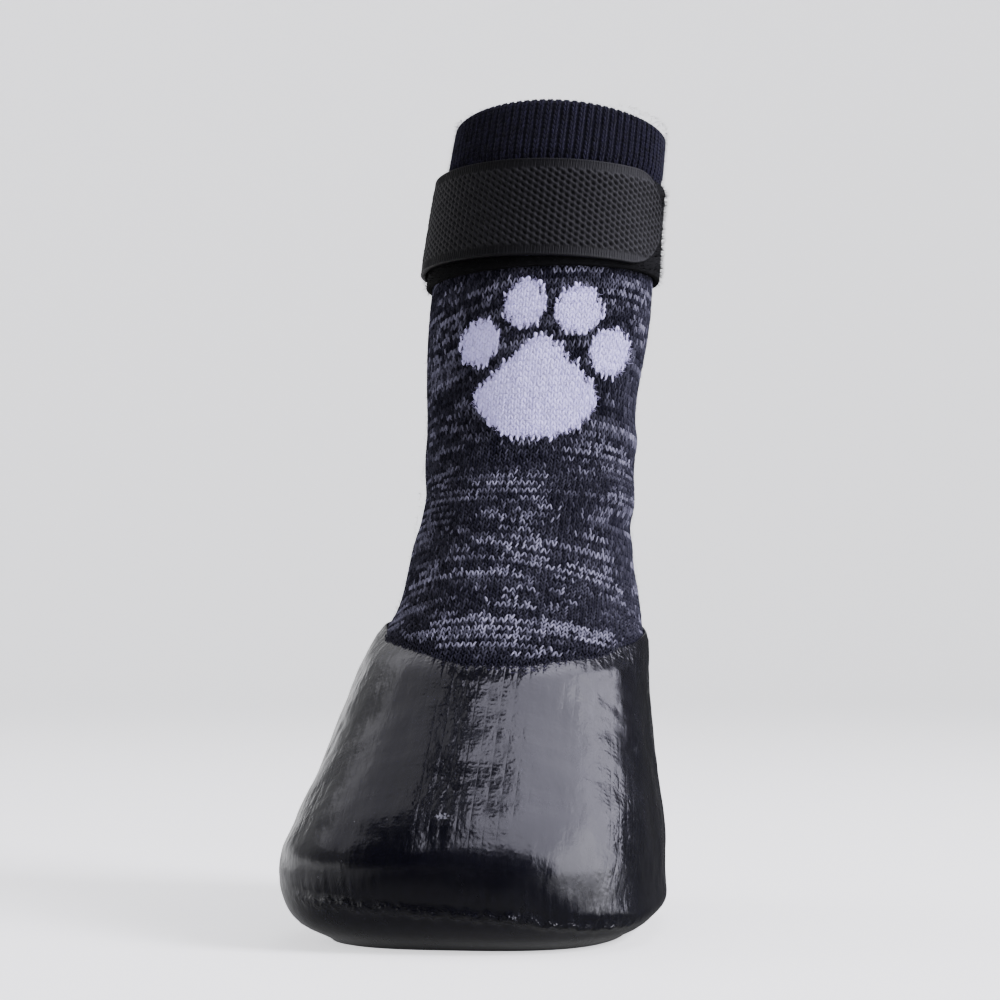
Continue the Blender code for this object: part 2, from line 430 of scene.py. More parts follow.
class Grain:
    """A small closed shape that is repeated thousands of times as one joined mesh."""

    def __init__(self, bm: Form) -> None:
        """Reads the shape's points, faces and map, and frees the bmesh."""
        chart = bm.loops.layers.uv.verify()
        self.points = np.array([vert.co for vert in bm.verts], float)
        self.corners = np.array([loop.vert.index for face in bm.faces for loop in face.loops])
        self.starts = np.cumsum([0] + [len(face.loops) for face in bm.faces])[:-1]
        self.chart = np.array([loop[chart].uv for face in bm.faces for loop in face.loops], float)
        bm.free()

    @classmethod
    def rice(cls, sides: int, rings: int) -> "Grain":
        """A full grain from pole to pole along Z, 1 in radius, with its rings drawn towards its ends."""
        bm = bmesh.new()
        bm.loops.layers.uv.verify()
        bmesh.ops.create_uvsphere(bm, u_segments=sides, v_segments=rings, radius=1.0, calc_uvs=True)
        for vert in bm.verts:
            radius = math.hypot(vert.co.x, vert.co.y)
            if radius > 1e-4:
                fuller = radius**0.45 / radius
                vert.co.x *= fuller
                vert.co.y *= fuller
                vert.co.z = math.copysign(abs(vert.co.z) ** 0.7, vert.co.z)
        return cls(bm)

    @classmethod
    def hair(cls, sides: int, joints: int) -> "Grain":
        """A fibre along Z from -1 to 1, 1 in radius at its root and pointed."""
        bm = bmesh.new()
        bm.loops.layers.uv.verify()
        sizes = {"radius1": 1.0, "radius2": 0.0, "depth": 2.0}
        bmesh.ops.create_cone(bm, cap_ends=True, cap_tris=False, segments=sides, calc_uvs=True, **sizes)
        long_edges = [edge for edge in bm.edges if abs(edge.verts[0].co.z - edge.verts[1].co.z) > 1.0]
        bmesh.ops.subdivide_edges(bm, edges=long_edges, cuts=joints)
        return cls(bm)

    def join(self, name: str, places: Array) -> Mesh:
        """One mesh of many grains.

        Args:
            name: The mesh's name.
            places: Where each grain's points go, in millimetres, of shape (grains, points, 3).

        Returns:
            The mesh, with a map that gives each grain a cell of its own for baking.
        """
        count, size = places.shape[:2]
        offsets = np.arange(count)[:, None]
        corners = (self.corners[None, :] + offsets * size).ravel()
        starts = (self.starts[None, :] + offsets * len(self.corners)).ravel()
        mesh = bpy.data.meshes.new(name)
        mesh.vertices.add(count * size)
        mesh.loops.add(len(corners))
        mesh.polygons.add(len(starts))
        mesh.loops.foreach_set("vertex_index", corners.astype(np.int32))
        mesh.polygons.foreach_set("loop_start", starts.astype(np.int32))
        mesh.vertices.foreach_set("co", (places * MM).astype(np.float32).ravel())
        mesh.update(calc_edges=True)
        cells = math.ceil(math.sqrt(count))
        cell = np.stack([np.arange(count) % cells, np.arange(count) // cells], axis=1)
        spread = (cell[:, None, :] + 0.08 + 0.84 * self.chart[None, :, :]) / cells
        layer = mesh.uv_layers.new(name="OFBake", do_init=False)
        layer.data.foreach_set("uv", spread.astype(np.float32).ravel())
        return mesh


# ---------------- knitted fabric


@dataclass(frozen=True)
class Dip:
    """How far a course sinks: its height in front, then its fall at 60 degrees to each side and behind."""

    front: float
    left: float
    right: float
    back: float


DIPS = (
    Dip(50.0, 5.0, 5.0, 20.0),
    Dip(62.0, 5.0, 5.0, 19.0),
    Dip(70.0, 5.2, 6.3, 17.0),
    Dip(77.0, 2.6, 6.0, 13.0),
    Dip(86.0, 1.4, 1.6, 9.5),
    Dip(100.0, 2.4, 2.0, 8.0),
    Dip(118.0, 5.0, -1.5, 6.0),
    Dip(156.0, 5.4, -1.5, 6.0),
)


@dataclass
class LegFabric:
    """Where each stitch of the leg lies: wales run up the leg, and courses run round it, sinking behind."""

    last: Last
    wales: int = 112
    course: float = 1.1
    front_wale: float = 1.27
    lowest: float = 52.0
    highest: float = 158.0
    samples: int = 720
    fronts: Array = field(init=False)
    angles: Array = field(init=False)

    def __post_init__(self) -> None:
        """Lays out the courses up the front line, then the wales along each course."""
        heights = np.arange(self.lowest, self.highest + 0.1, 0.25)
        line = self.last.surface(heights, np.zeros(len(heights)))
        walked = walk(line)
        self.courses = int(walked[-1] / self.course)
        self.fronts = np.interp(np.arange(self.courses + 1) * self.course, walked, heights)
        round_way = np.linspace(0.0, FULL_TURN, self.samples + 1)
        levels = self.level(self.fronts[:, None], round_way[None, :])
        rings = self.last.surface(levels, np.broadcast_to(round_way, levels.shape))
        turn = np.linspace(0.0, FULL_TURN, 2 * self.wales + 1)
        rows = []
        for ring in rings:
            way = walk(ring)
            slack = max(0.0, 1 - self.wales * self.front_wale / way[-1])
            shares = (turn - slack * np.sin(turn)) / FULL_TURN
            rows.append(np.interp(shares * way[-1], way, round_way))
        self.angles = np.stack(rows)

    def level(self, front: Array, angle: Array) -> Array:
        """A course's height round the leg, from its height at the front."""
        fronts, *falls = (np.array(column) for column in zip(*(astuple(dip) for dip in DIPS)))
        left, right, back = (np.interp(front, fronts, fall) for fall in falls)
        lean = (right - left) / math.sqrt(3)
        waist = (left + right) * 2 / 3 - back / 3
        behind = (1 - np.cos(angle)) / 2
        return front - back * behind - lean * np.sin(angle) - waist * np.sin(angle) ** 2

    def place(self, wale: Array, course: Array) -> tuple[Array, Array]:
        """The last's height and angle at places counted in wales from the front and courses from the foot."""
        angle = grid_value(self.angles, course, np.mod(wale, self.wales) * 2)
        front = np.interp(course, np.arange(len(self.fronts)), self.fronts)
        return self.level(front, angle), angle


class YarnRuns:
    """Space-dyed yarn: light and dark stretches of uneven length, fed from two cones in turn."""

    LIGHT_SHARES = (0.42, 0.16)

    def __init__(self, seed: int, wales: int, courses: int) -> None:
        """Draws both cones' stretches, long enough for the whole leg."""
        self.wales = wales
        self.draw = np.random.default_rng(seed)
        needed = (courses // 2 + 2) * wales
        self.cones = [self._cone(needed, share) for share in self.LIGHT_SHARES]

    def _cone(self, needed: int, light_share: float) -> Array:
        """One cone's lightness, stitch by stitch."""
        stretches: list[Array] = []
        filled = 0
        light = False
        while filled < needed:
            mean = 15.0 * 2 * (light_share if light else 1 - light_share)
            length = int(np.clip(self.draw.exponential(mean), 2, 60))
            strength = self.draw.uniform(0.28, 0.80) if light else self.draw.uniform(0.0, 0.13)
            stretches.append(np.full(length, strength))
            filled += length
            light = not light
        return np.concatenate(stretches)[:needed]

    def lightness(self, wale: Array, course: Array) -> Array:
        """How light each stitch's yarn is, from 0 to 1, with odd plies showing through."""
        position = (course // 2) * self.wales + np.mod(wale, self.wales)
        value = np.where(course % 2 == 0, self.cones[0][position], self.cones[1][position])
        odd = self.draw.random(len(value))
        value = value * self.draw.uniform(0.6, 1.1, len(value))
        value = np.where((value > 0.3) & (odd < 0.16), 0.12, value)
        return np.where((value < 0.3) & (odd > 0.95), 0.45, value)


@dataclass(frozen=True)
class Streak:
    """A listed patch on the leg: its lowest course, its wales, its rows, how full it is and how light."""

    course: int
    first: int
    last: int
    rows: int
    fullness: float
    tone: float


# Mostly marl; the dark ones out to wale 30 are painted shade, mid-light ones near wale -20 painted sheen.
MARL_SHADE_AND_SHEEN_STREAKS = tuple(
    Streak(*row)
    for row in (
        (4, -14, 4, 3, 0.80, 0.05), (4, 13, 30, 9, 0.90, 0.04), (18, -1, 9, 2, 0.80, 0.05),
        (18, 7, 10, 11, 0.85, 0.05), (18, 14, 30, 10, 0.90, 0.07), (22, -10, -5, 6, 0.75, 0.06),
        (30, -12, 5, 2, 0.85, 0.05), (33, -13, -5, 6, 0.75, 0.07), (33, 22, 30, 11, 0.85, 0.06),
        (40, -10, -4, 7, 0.80, 0.06), (41, 9, 15, 9, 0.85, 0.05), (55, -11, 16, 6, 0.70, 0.06),
        (60, -8, 0, 6, 0.85, 0.05), (68, 20, 30, 8, 0.85, 0.07), (71, -20, -8, 5, 0.70, 0.07),
        (72, 14, 22, 4, 0.70, 0.07), (94, -22, 16, 6, 0.50, 0.07), (8, 5, 9, 1, 0.90, 0.70),
        (9, 9, 12, 1, 0.90, 0.75), (10, -7, 6, 1, 0.85, 0.65), (12, -10, 9, 1, 0.85, 0.60),
        (14, -11, -4, 1, 0.95, 0.85), (14, -4, 20, 1, 0.90, 0.80), (15, 8, 21, 1, 0.75, 0.75),
        (16, -11, 22, 1, 0.90, 0.80), (17, -3, 0, 1, 0.90, 0.75), (17, 8, 22, 1, 0.90, 0.85),
        (18, 18, 23, 1, 0.80, 0.55), (14, -22, -14, 2, 0.60, 0.35), (18, -11, -3, 1, 0.60, 0.40),
        (20, 0, 8, 1, 0.90, 0.80), (21, -17, -12, 1, 0.75, 0.45), (21, 9, 12, 1, 0.85, 0.70),
        (22, 2, 5, 2, 0.90, 0.80), (22, -11, -4, 1, 0.60, 0.40), (24, 12, 14, 1, 0.90, 0.70),
        (24, -3, -1, 1, 0.80, 0.55), (22, 18, 24, 2, 0.50, 0.22), (25, 5, 7, 2, 0.80, 0.65),
        (26, 10, 12, 1, 0.90, 0.75), (26, -17, -11, 1, 0.65, 0.38), (28, -14, 5, 1, 0.90, 0.70),
        (29, -2, 4, 1, 0.75, 0.70), (29, 15, 25, 1, 0.70, 0.45), (30, 10, 13, 1, 0.90, 0.70),
        (31, -13, -10, 1, 0.70, 0.45), (32, -10, 0, 1, 0.80, 0.55), (32, 0, 24, 1, 0.85, 0.72),
        (34, 1, 8, 1, 0.90, 0.75), (34, 12, 21, 1, 0.90, 0.78), (34, -8, -5, 1, 0.70, 0.45),
        (36, -4, 8, 1, 0.90, 0.80), (36, 14, 22, 1, 0.50, 0.50), (37, -3, 0, 1, 0.70, 0.70),
        (38, 1, 21, 1, 0.85, 0.70), (39, -12, -5, 1, 0.60, 0.45), (40, 0, 5, 2, 0.60, 0.55),
        (41, 13, 20, 1, 0.85, 0.72), (42, 2, 9, 2, 0.60, 0.50), (43, -4, 0, 1, 0.80, 0.62),
        (36, -19, -13, 3, 0.60, 0.36), (42, -18, -13, 3, 0.55, 0.33), (45, 14, 20, 1, 0.70, 0.50),
        (46, 5, 9, 1, 0.90, 0.75), (47, 17, 25, 3, 0.75, 0.60), (48, -11, -5, 1, 0.80, 0.58),
        (48, 0, 6, 2, 0.75, 0.62), (50, -7, -1, 2, 0.60, 0.50), (52, -3, 6, 1, 0.80, 0.68),
        (54, -2, 6, 1, 0.70, 0.62), (53, -17, -12, 2, 0.75, 0.52), (56, 10, 15, 1, 0.80, 0.58),
        (57, 5, 7, 1, 0.80, 0.50), (58, 16, 27, 1, 0.75, 0.50), (59, 9, 17, 1, 0.60, 0.50),
        (57, -12, -8, 1, 0.60, 0.45), (61, 7, 25, 1, 0.90, 0.68), (62, 0, 4, 1, 0.80, 0.60),
        (62, -14, -8, 1, 0.70, 0.45), (63, 9, 22, 1, 0.80, 0.62), (65, 10, 16, 1, 0.70, 0.50),
        (66, -13, -6, 1, 0.60, 0.38), (67, 13, 28, 1, 0.85, 0.58), (69, -13, -6, 1, 0.65, 0.45),
        (71, -12, -7, 1, 0.60, 0.45), (71, 15, 20, 1, 0.60, 0.40), (76, -20, -12, 2, 0.60, 0.34),
        (77, 10, 14, 1, 0.80, 0.60), (81, -20, -10, 1, 0.70, 0.42), (80, 6, 12, 2, 0.60, 0.50),
        (81, -4, 5, 1, 0.60, 0.48), (83, -20, -10, 1, 0.75, 0.46), (82, 22, 28, 2, 0.50, 0.40),
        (86, -20, -9, 1, 0.80, 0.46), (85, 20, 29, 1, 0.80, 0.48), (88, 14, 24, 1, 0.70, 0.45),
        (89, -21, -10, 1, 0.60, 0.36), (90, 13, 26, 1, 0.85, 0.55), (92, 15, 28, 1, 0.80, 0.55),
        (91, -8, -4, 1, 0.70, 0.45), (93, -12, 1, 1, 0.85, 0.55), (94, 3, 15, 1, 0.70, 0.48),
        (96, 0, 12, 1, 0.50, 0.40), (94, -18, -12, 1, 0.50, 0.35),
    )
)


@dataclass(frozen=True)
class Toe:
    """One toe of the paw: its middle along and up the leg, half its width and half its height."""

    along: float
    height: float
    half_width: float
    half_height: float


@dataclass(frozen=True)
class PawMotif:
    """A plain paw print knitted into the leg's front: four toes over one pad."""

    middle: float = math.radians(12.0)
    radius: float = 22.7
    lean: float = 0.04
    toes: tuple[Toe, ...] = (
        Toe(-13.5, 116.5, 4.5, 4.6),
        Toe(-4.2, 124.1, 4.2, 4.9),
        Toe(7.0, 123.2, 5.1, 4.8),
        Toe(16.1, 115.1, 5.8, 4.8),
    )
    pad: tuple[Pair, ...] = (
        (97.2, 0.0), (98.0, 5.2), (99.0, 8.2), (100.4, 10.2), (102.2, 12.4), (104.5, 13.6),
        (106.2, 13.6), (108.0, 12.4), (110.5, 9.2), (113.0, 6.2), (116.0, 3.3), (118.0, 0.0),
    )

    def covers(self, height: Array, angle: Array) -> Array:
        """Whether each place on the leg is part of the paw."""
        turned = np.mod(angle - self.middle + math.pi, FULL_TURN) - math.pi
        along = turned * self.radius
        levels, halves = zip(*self.pad)
        low, high = levels[0], levels[-1]
        inside = (np.abs(along) < np.interp(height, levels, halves)) & (height > low) & (height < high)
        for toe in self.toes:
            up = height - toe.height
            across = along - toe.along - self.lean * up
            inside |= (across / toe.half_width) ** 2 + (up / toe.half_height) ** 2 < 1
        return inside


@dataclass(frozen=True)
class Legs:
    """The legs of V stitches: each one's wale, its course, its side of the V and how light its yarn is."""

    wale: Array
    course: Array
    side: Array
    lightness: Array

    def some(self, chosen: Array) -> "Legs":
        """The chosen legs alone."""
        return Legs(self.wale[chosen], self.course[chosen], self.side[chosen], self.lightness[chosen])


@dataclass(frozen=True)
class StitchForm:
    """How a leg of a V stitch lies: widths in wales, its height in courses, and depths in millimetres.

    Foot gap and spread are how far from the wale's middle a leg starts and ends. Sunk is where its middle
    lies, and tuck how far its ends dip.
    """

    foot_gap: float
    spread: float
    tall: float
    width: float
    thick: float
    sunk: float
    tuck: float

    def points(self, legs: Legs, grain: Grain, jitter: Array) -> tuple[Array, Array, Array]:
        """Every grain point's wale, course and offset.

        Args:
            legs: The legs to form.
            grain: The shape of one leg, along Z.
            jitter: A random size change for each leg, about 1.

        Returns:
            Three arrays of shape (legs, points of a grain).
        """
        x, y, z = grain.points.T
        along = (z + 1) / 2
        lean = self.foot_gap + (self.spread - self.foot_gap) * along ** 1.15
        wale = legs.wale[:, None] + legs.side[:, None] * lean[None, :]
        wale = wale + jitter[:, None] * self.width / 2 * x[None, :]
        course = legs.course[:, None] + self.tall * (along - 0.5)[None, :]
        rise = self.sunk + self.thick / 2 * y - self.tuck * np.abs(z) ** 3
        return wale, course, np.broadcast_to(rise, wale.shape)


def every_leg(courses: Array, wales: Array) -> tuple[Array, Array, Array]:
    """The course, wale and side of both legs of every stitch."""
    grid = np.meshgrid(courses, wales, [-1, 1], indexing="ij")
    return tuple(values.ravel() for values in grid)


LEG_STITCH = StitchForm(foot_gap=0.04, spread=0.49, tall=1.5, width=0.35, thick=0.52, sunk=-0.20, tuck=0.24)
PAW_STITCH = replace(LEG_STITCH, width=0.56)
CUFF_STITCH = StitchForm(foot_gap=0.05, spread=0.29, tall=1.5, width=0.27, thick=0.5, sunk=-0.06, tuck=0.2)


# ---------------- shading


class Bench:
    """A node tree that is being wired, with sockets given as values or as other nodes' outputs."""

    def __init__(self, tree: bpy.types.NodeTree) -> None:
        """Takes the tree to wire."""
        self.tree = tree

    def node(self, kind: str, **settings: object) -> bpy.types.Node:
        """A new node with its settings."""
        made = self.tree.nodes.new(kind)
        for name, value in settings.items():
            setattr(made, name, value)
        return made

    def feed(self, socket: Socket, value: object) -> None:
        """Sets a socket to a value, or links it to an output."""
        if isinstance(value, Socket):
            self.tree.links.new(value, socket)
        elif isinstance(value, tuple) and socket.type == "RGBA" and len(value) == 3:
            socket.default_value = (*value, 1.0)
        else:
            socket.default_value = value

    def wired(self, kind: str, values: dict[str | int, object], **settings: object) -> bpy.types.Node:
        """A new node with its settings and its inputs, each by its name or its number."""
        made = self.node(kind, **settings)
        for socket, value in values.items():
            self.feed(made.inputs[socket], value)
        return made

    def math(self, operation: str, *values: object) -> Socket:
        """The result of a Math node."""
        return self.wired("ShaderNodeMath", dict(enumerate(values)), operation=operation).outputs[0]

    def times(self, first: object, second: object) -> Socket:
        """The product of two values."""
        return self.math("MULTIPLY", first, second)

    def plus(self, first: object, second: object) -> Socket:
        """The sum of two values."""
        return self.math("ADD", first, second)

    def rest(self, share: object) -> Socket:
        """What a share leaves of 1."""
        return self.math("SUBTRACT", 1.0, share)

    def wave(self, value: object, turns: float) -> Socket:
        """A sine wave along a value, with so many turns to each unit."""
        return self.math("SINE", self.times(value, FULL_TURN * turns))

    def split(self, vector: object) -> tuple[Socket, Socket, Socket]:
        """A vector's three parts."""
        return tuple(self.wired("ShaderNodeSeparateXYZ", {0: vector}).outputs)

    def mix(self, share: object, first: object, second: object) -> Socket:
        """A mix of two colours."""
        values = {"Factor": share, 6: first, 7: second}
        return self.wired("ShaderNodeMix", values, data_type="RGBA").outputs[2]

    def span(self, value: object, low: float, high: float, start: float = 0.0, end: float = 1.0) -> Socket:
        """A value moved from one range to another, held at its ends."""
        values = dict(enumerate((value, low, high, start, end)))
        return self.wired("ShaderNodeMapRange", values).outputs[0]

    def fade(self, share: object, start: float, end: float) -> Socket:
        """A value from start to end as a share goes from 0 to 1."""
        return self.span(share, 0.0, 1.0, start, end)

    def noise(self, where: object, scale: object, detail: float = 2.0, rough: float = 0.5) -> Socket:
        """A noise texture's value."""
        values = {"Vector": where, "Scale": scale, "Detail": detail, "Roughness": rough}
        return self.wired("ShaderNodeTexNoise", values).outputs["Fac"]

    def stretched(self, where: object, scale: Point) -> Socket:
        """Coordinates scaled on each axis."""
        return self.wired("ShaderNodeMapping", {"Vector": where, "Scale": scale}).outputs[0]

    def object_place(self) -> Socket:
        """Object coordinates, in metres."""
        return self.node("ShaderNodeTexCoord").outputs["Object"]

    def value(self, name: str) -> Socket:
        """A number stored on the mesh."""
        return self.node("ShaderNodeAttribute", attribute_name=name).outputs["Fac"]

    def map_place(self, name: str) -> Socket:
        """Places on one of the mesh's maps."""
        return self.node("ShaderNodeUVMap", uv_map=name).outputs["UV"]

    def bump(self, height: object, distance: float, strength: float, under: Socket | None = None) -> Socket:
        """A normal raised by a height, over another normal if one is given."""
        values = {"Height": height, "Distance": distance, "Strength": strength}
        if under is not None:
            values["Normal"] = under
        return self.wired("ShaderNodeBump", values).outputs[0]


class Effect(Enum):
    """The effects that several finishes share."""

    FIBRES = "yarn fibres"
    STITCHES = "stitch relief"
    LINT = "lint specks"


class Effects:
    """Builds each shared effect once, as a node group, and places it in materials."""

    def __init__(self) -> None:
        """Builds every group."""
        self.groups = {
            Effect.FIBRES: self._fibres(),
            Effect.STITCHES: self._stitches(),
            Effect.LINT: self._lint(),
        }

    @staticmethod
    def _group(effect: Effect, inputs: tuple[str, ...], outputs: tuple[str, ...]) -> tuple[Bench, dict, dict]:
        """An empty group with its sockets, as its bench and its inner sockets by name."""
        tree = bpy.data.node_groups.new(effect.value, "ShaderNodeTree")
        sides = [(label, "INPUT") for label in inputs] + [(label, "OUTPUT") for label in outputs]
        for label, side in sides:
            kind = "NodeSocketVector" if label == "Place" else "NodeSocketFloat"
            tree.interface.new_socket(label, in_out=side, socket_type=kind)
        bench = Bench(tree)
        given = bench.node("NodeGroupInput").outputs
        wanted = bench.node("NodeGroupOutput").inputs
        return bench, {label: given[label] for label in inputs}, {label: wanted[label] for label in outputs}

    def _fibres(self) -> bpy.types.NodeTree:
        """Fine fibres and loose plies on yarn: a shade and a height."""
        bench, given, wanted = self._group(Effect.FIBRES, ("Place", "Scale"), ("Shade", "Height"))
        fine = bench.noise(given["Place"], given["Scale"], 3.0, 0.65)
        coarse = bench.noise(given["Place"], bench.times(given["Scale"], 0.22), 2.0)
        both = bench.plus(bench.times(fine, 0.6), bench.times(coarse, 0.4))
        bench.feed(wanted["Shade"], bench.span(both, 0.3, 0.7))
        bench.feed(wanted["Height"], fine)
        return bench.tree

    def _stitches(self) -> bpy.types.NodeTree:
        """Ribs of stitches raised under a coat and broken here and there, on a map in wales and courses."""
        bench, given, wanted = self._group(Effect.STITCHES, ("Place",), ("Height",))
        wales, courses, _ = bench.split(given["Place"])
        rib = bench.math("ABSOLUTE", bench.wave(wales, 0.5))
        beat = bench.wave(courses, 1.0)
        broken = bench.noise(bench.stretched(given["Place"], (1.1, 0.42, 1.0)), 1.0, 2.0, 0.6)
        dashes = bench.span(broken, 0.40, 0.62, 0.12, 1.0)
        raised = bench.times(bench.math("POWER", rib, 0.7), dashes)
        beaten = bench.times(raised, bench.span(beat, -1.0, 1.0, 0.75, 1.0))
        bench.feed(wanted["Height"], beaten)
        return bench.tree

    def _lint(self) -> bpy.types.NodeTree:
        """A few specks of lint and dust, as a mask."""
        bench, given, wanted = self._group(Effect.LINT, ("Place", "Scale"), ("Mask",))
        cells = bench.wired("ShaderNodeTexVoronoi", {"Vector": given["Place"], "Scale": given["Scale"]})
        near = bench.math("LESS_THAN", cells.outputs["Distance"], 0.085)
        patch = bench.span(bench.noise(given["Place"], 45.0, 2.0), 0.55, 0.65)
        bench.feed(wanted["Mask"], bench.times(near, patch))
        return bench.tree

    def place(self, bench: Bench, effect: Effect, **inputs: object) -> bpy.types.bpy_prop_collection:
        """Puts an effect in a material and returns its outputs."""
        return bench.wired("ShaderNodeGroup", inputs, node_tree=self.groups[effect]).outputs


THREAD_FIBRES = 5200.0
LOFT_FIBRES = 2600.0
PURL_FIBRES = 4200.0


class Coat(Bench):
    """A new material that is being wired, with the inputs of its Principled shader."""

    def __init__(self, name: str) -> None:
        """Makes the material."""
        self.material = bpy.data.materials.new(name)
        self.material.use_nodes = True
        super().__init__(self.material.node_tree)
        self.shader = self.tree.nodes["Principled BSDF"].inputs

    def finish(self, colour: Socket, rough: Socket | float, specular: float, **others: object) -> Material:
        """Feeds the shader's colour and roughness, sets its constants, and returns the material."""
        self.feed(self.shader["Base Color"], colour)
        self.feed(self.shader["Roughness"], rough)
        self.feed(self.shader["Specular IOR Level"], specular)
        for name, value in others.items():
            self.feed(self.shader[name.replace("_", " ")], value)
        return self.material


@dataclass(frozen=True)
class YarnFinish:
    """Spun yarn whose stitches carry their own lightness. Relief is how high its fibres stand, in metres."""

    name: str
    dark: Colour
    light: Colour
    variation: float = 0.45
    roughness: float = 0.88
    sheen: float = 0.0
    relief: float = 0.00012

    def material(self, effects: Effects) -> Material:
        """The yarn's material."""
        bench = Coat(self.name)
        fibres = effects.place(bench, Effect.FIBRES, Place=bench.object_place(), Scale=THREAD_FIBRES)
        yarn = bench.mix(bench.value("lightness"), self.dark, self.light)
        between = bench.times(bench.rest(fibres["Shade"]), self.variation)
        shaded = bench.mix(between, yarn, tuple(0.25 * part for part in self.dark))
        rough = bench.fade(fibres["Shade"], self.roughness, 1.0)
        raised = bench.bump(fibres["Height"], self.relief, 0.7)
        sheen = {"Sheen_Weight": self.sheen, "Sheen_Roughness": 0.5}
        return bench.finish(shaded, rough, 0.25, Normal=raised, **sheen)


@dataclass(frozen=True)
class PurlFinish:
    """The back of the knit, seen inside the sock and between the stitches. Reliefs are in metres."""

    name: str
    dark: Colour
    light: Colour
    white: Colour
    streaks: float = 0.50
    ridge_relief: float = 0.00022
    fibre_relief: float = 0.0001

    def material(self, effects: Effects) -> Material:
        """The purl side's material, patterned on the map counted in wales and courses."""
        bench = Coat(self.name)
        chart = bench.map_place("stitches")
        marl = bench.noise(bench.stretched(chart, (0.16, 1.0, 1.0)), 0.9, 3.0, 0.6)
        fibres = effects.place(bench, Effect.FIBRES, Place=bench.object_place(), Scale=PURL_FIBRES)
        wales, courses, _ = bench.split(chart)
        bows = bench.times(bench.wave(wales, 1.0), 0.12)
        ridge = bench.wave(bench.plus(courses, bows), 1.0)
        share = bench.times(bench.span(marl, 0.46, 0.6), self.streaks)
        marled = bench.mix(share, self.dark, self.light)
        yarn = bench.mix(bench.value("paw"), marled, self.white)
        worn = bench.mix(bench.fade(fibres["Shade"], 0.35, 0.0), yarn, (0.001, 0.001, 0.002))
        rough = bench.fade(fibres["Shade"], 0.86, 1.0)
        grain = bench.bump(fibres["Height"], self.fibre_relief, 0.6)
        return bench.finish(worn, rough, 0.2, Normal=bench.bump(ridge, self.ridge_relief, 0.8, grain))


@dataclass(frozen=True)
class RubberFinish:
    """Dipped rubber: near black and glossy, with the knit showing faintly through.

    Reliefs are in metres. Beads and pleats are raised by so many times the knit's relief.
    """

    name: str
    deep: Colour = (0.0012, 0.0012, 0.0030)
    worn: Colour = (0.0028, 0.0028, 0.0056)
    lint: Colour = (0.05, 0.05, 0.06)
    nick: Colour = (0.10, 0.10, 0.12)
    smooth: float = 0.15
    dull: float = 0.30
    scuff_relief: float = 0.00005
    wrinkle_relief: float = 0.00014
    knit_relief: float = 0.00016
    beads: float = 4.0
    pleats: float = 1.3

    def material(self, effects: Effects) -> Material:
        """The rubber's material."""
        bench = Coat(self.name)
        place = bench.object_place()
        cloud = bench.noise(place, 60.0, 4.0, 0.6)
        scuff = bench.noise(bench.stretched(place, (1.0, 0.35, 0.45)), 900.0, 3.0, 0.6)
        specks = effects.place(bench, Effect.LINT, Place=place, Scale=520.0)
        nicks = bench.times(bench.noise(place, 2400.0, 1.0, 0.5), bench.value("scuffed"))
        body = bench.mix(bench.span(cloud, 0.35, 0.7), self.deep, self.worn)
        dusty = bench.mix(specks["Mask"], body, self.lint)
        colour = bench.mix(bench.span(nicks, 0.34, 0.44), dusty, self.nick)
        gloss = bench.plus(bench.times(cloud, 0.6), bench.times(scuff, 0.4))
        rough = bench.span(gloss, 0.35, 0.65, self.smooth, self.dull)
        relief = effects.place(bench, Effect.STITCHES, Place=bench.map_place("stitches"))
        raised = bench.times(relief["Height"], bench.value("relief"))
        beads = bench.times(bench.noise(place, 1150.0, 1.5, 0.6), bench.value("seam"))
        pleats = bench.noise(bench.stretched(place, (1.0, 1.0, 0.18)), 1500.0, 2.0, 0.6)
        pleats = bench.times(pleats, bench.value("gathers"))
        height = bench.math("MULTIPLY_ADD", beads, self.beads, raised)
        height = bench.math("MULTIPLY_ADD", pleats, self.pleats, height)
        wrinkles = bench.noise(bench.stretched(place, (1.0, 0.3, 0.5)), 420.0, 3.0, 0.6)
        fine = bench.bump(scuff, self.scuff_relief, 0.6)
        wrinkled = bench.bump(wrinkles, self.wrinkle_relief, 0.8, fine)
        raised = bench.bump(height, self.knit_relief, 1.0, wrinkled)
        return bench.finish(colour, rough, 0.5, Normal=raised)


@dataclass(frozen=True)
class TapeFinish:
    """Woven tape whose raised threads catch the light. Reliefs are in metres."""

    name: str
    # deep is painted shade: the weave's holes are darker than its raised threads.
    deep: Colour = (0.0006, 0.0006, 0.0008)
    raised: Colour = (0.0098, 0.0095, 0.0112)
    thread: float = 0.36
    fibre_relief: float = 0.00007
    rib_relief: float = 0.00004

    def material(self, effects: Effects) -> Material:
        """The tape's material."""
        bench = Coat(self.name)
        fibres = effects.place(bench, Effect.FIBRES, Place=bench.object_place(), Scale=THREAD_FIBRES)
        ribs = bench.span(bench.wave(bench.value("along"), 1 / self.thread), -1.0, 1.0)
        # Painted shade: the weave's height runs the colour from deep in its holes up to raised on its
        # threads.
        thread = bench.mix(bench.value("weave"), self.deep, self.raised)
        shade = bench.fade(fibres["Shade"], 0.45, 0.0)
        shade = bench.math("MAXIMUM", shade, bench.times(ribs, 0.35))
        colour = bench.mix(shade, thread, self.deep)
        rough = bench.fade(fibres["Shade"], 0.38, 0.58)
        fine = bench.bump(fibres["Height"], self.fibre_relief, 0.6)
        return bench.finish(colour, rough, 0.15, Normal=bench.bump(ribs, self.rib_relief, 0.8, fine))


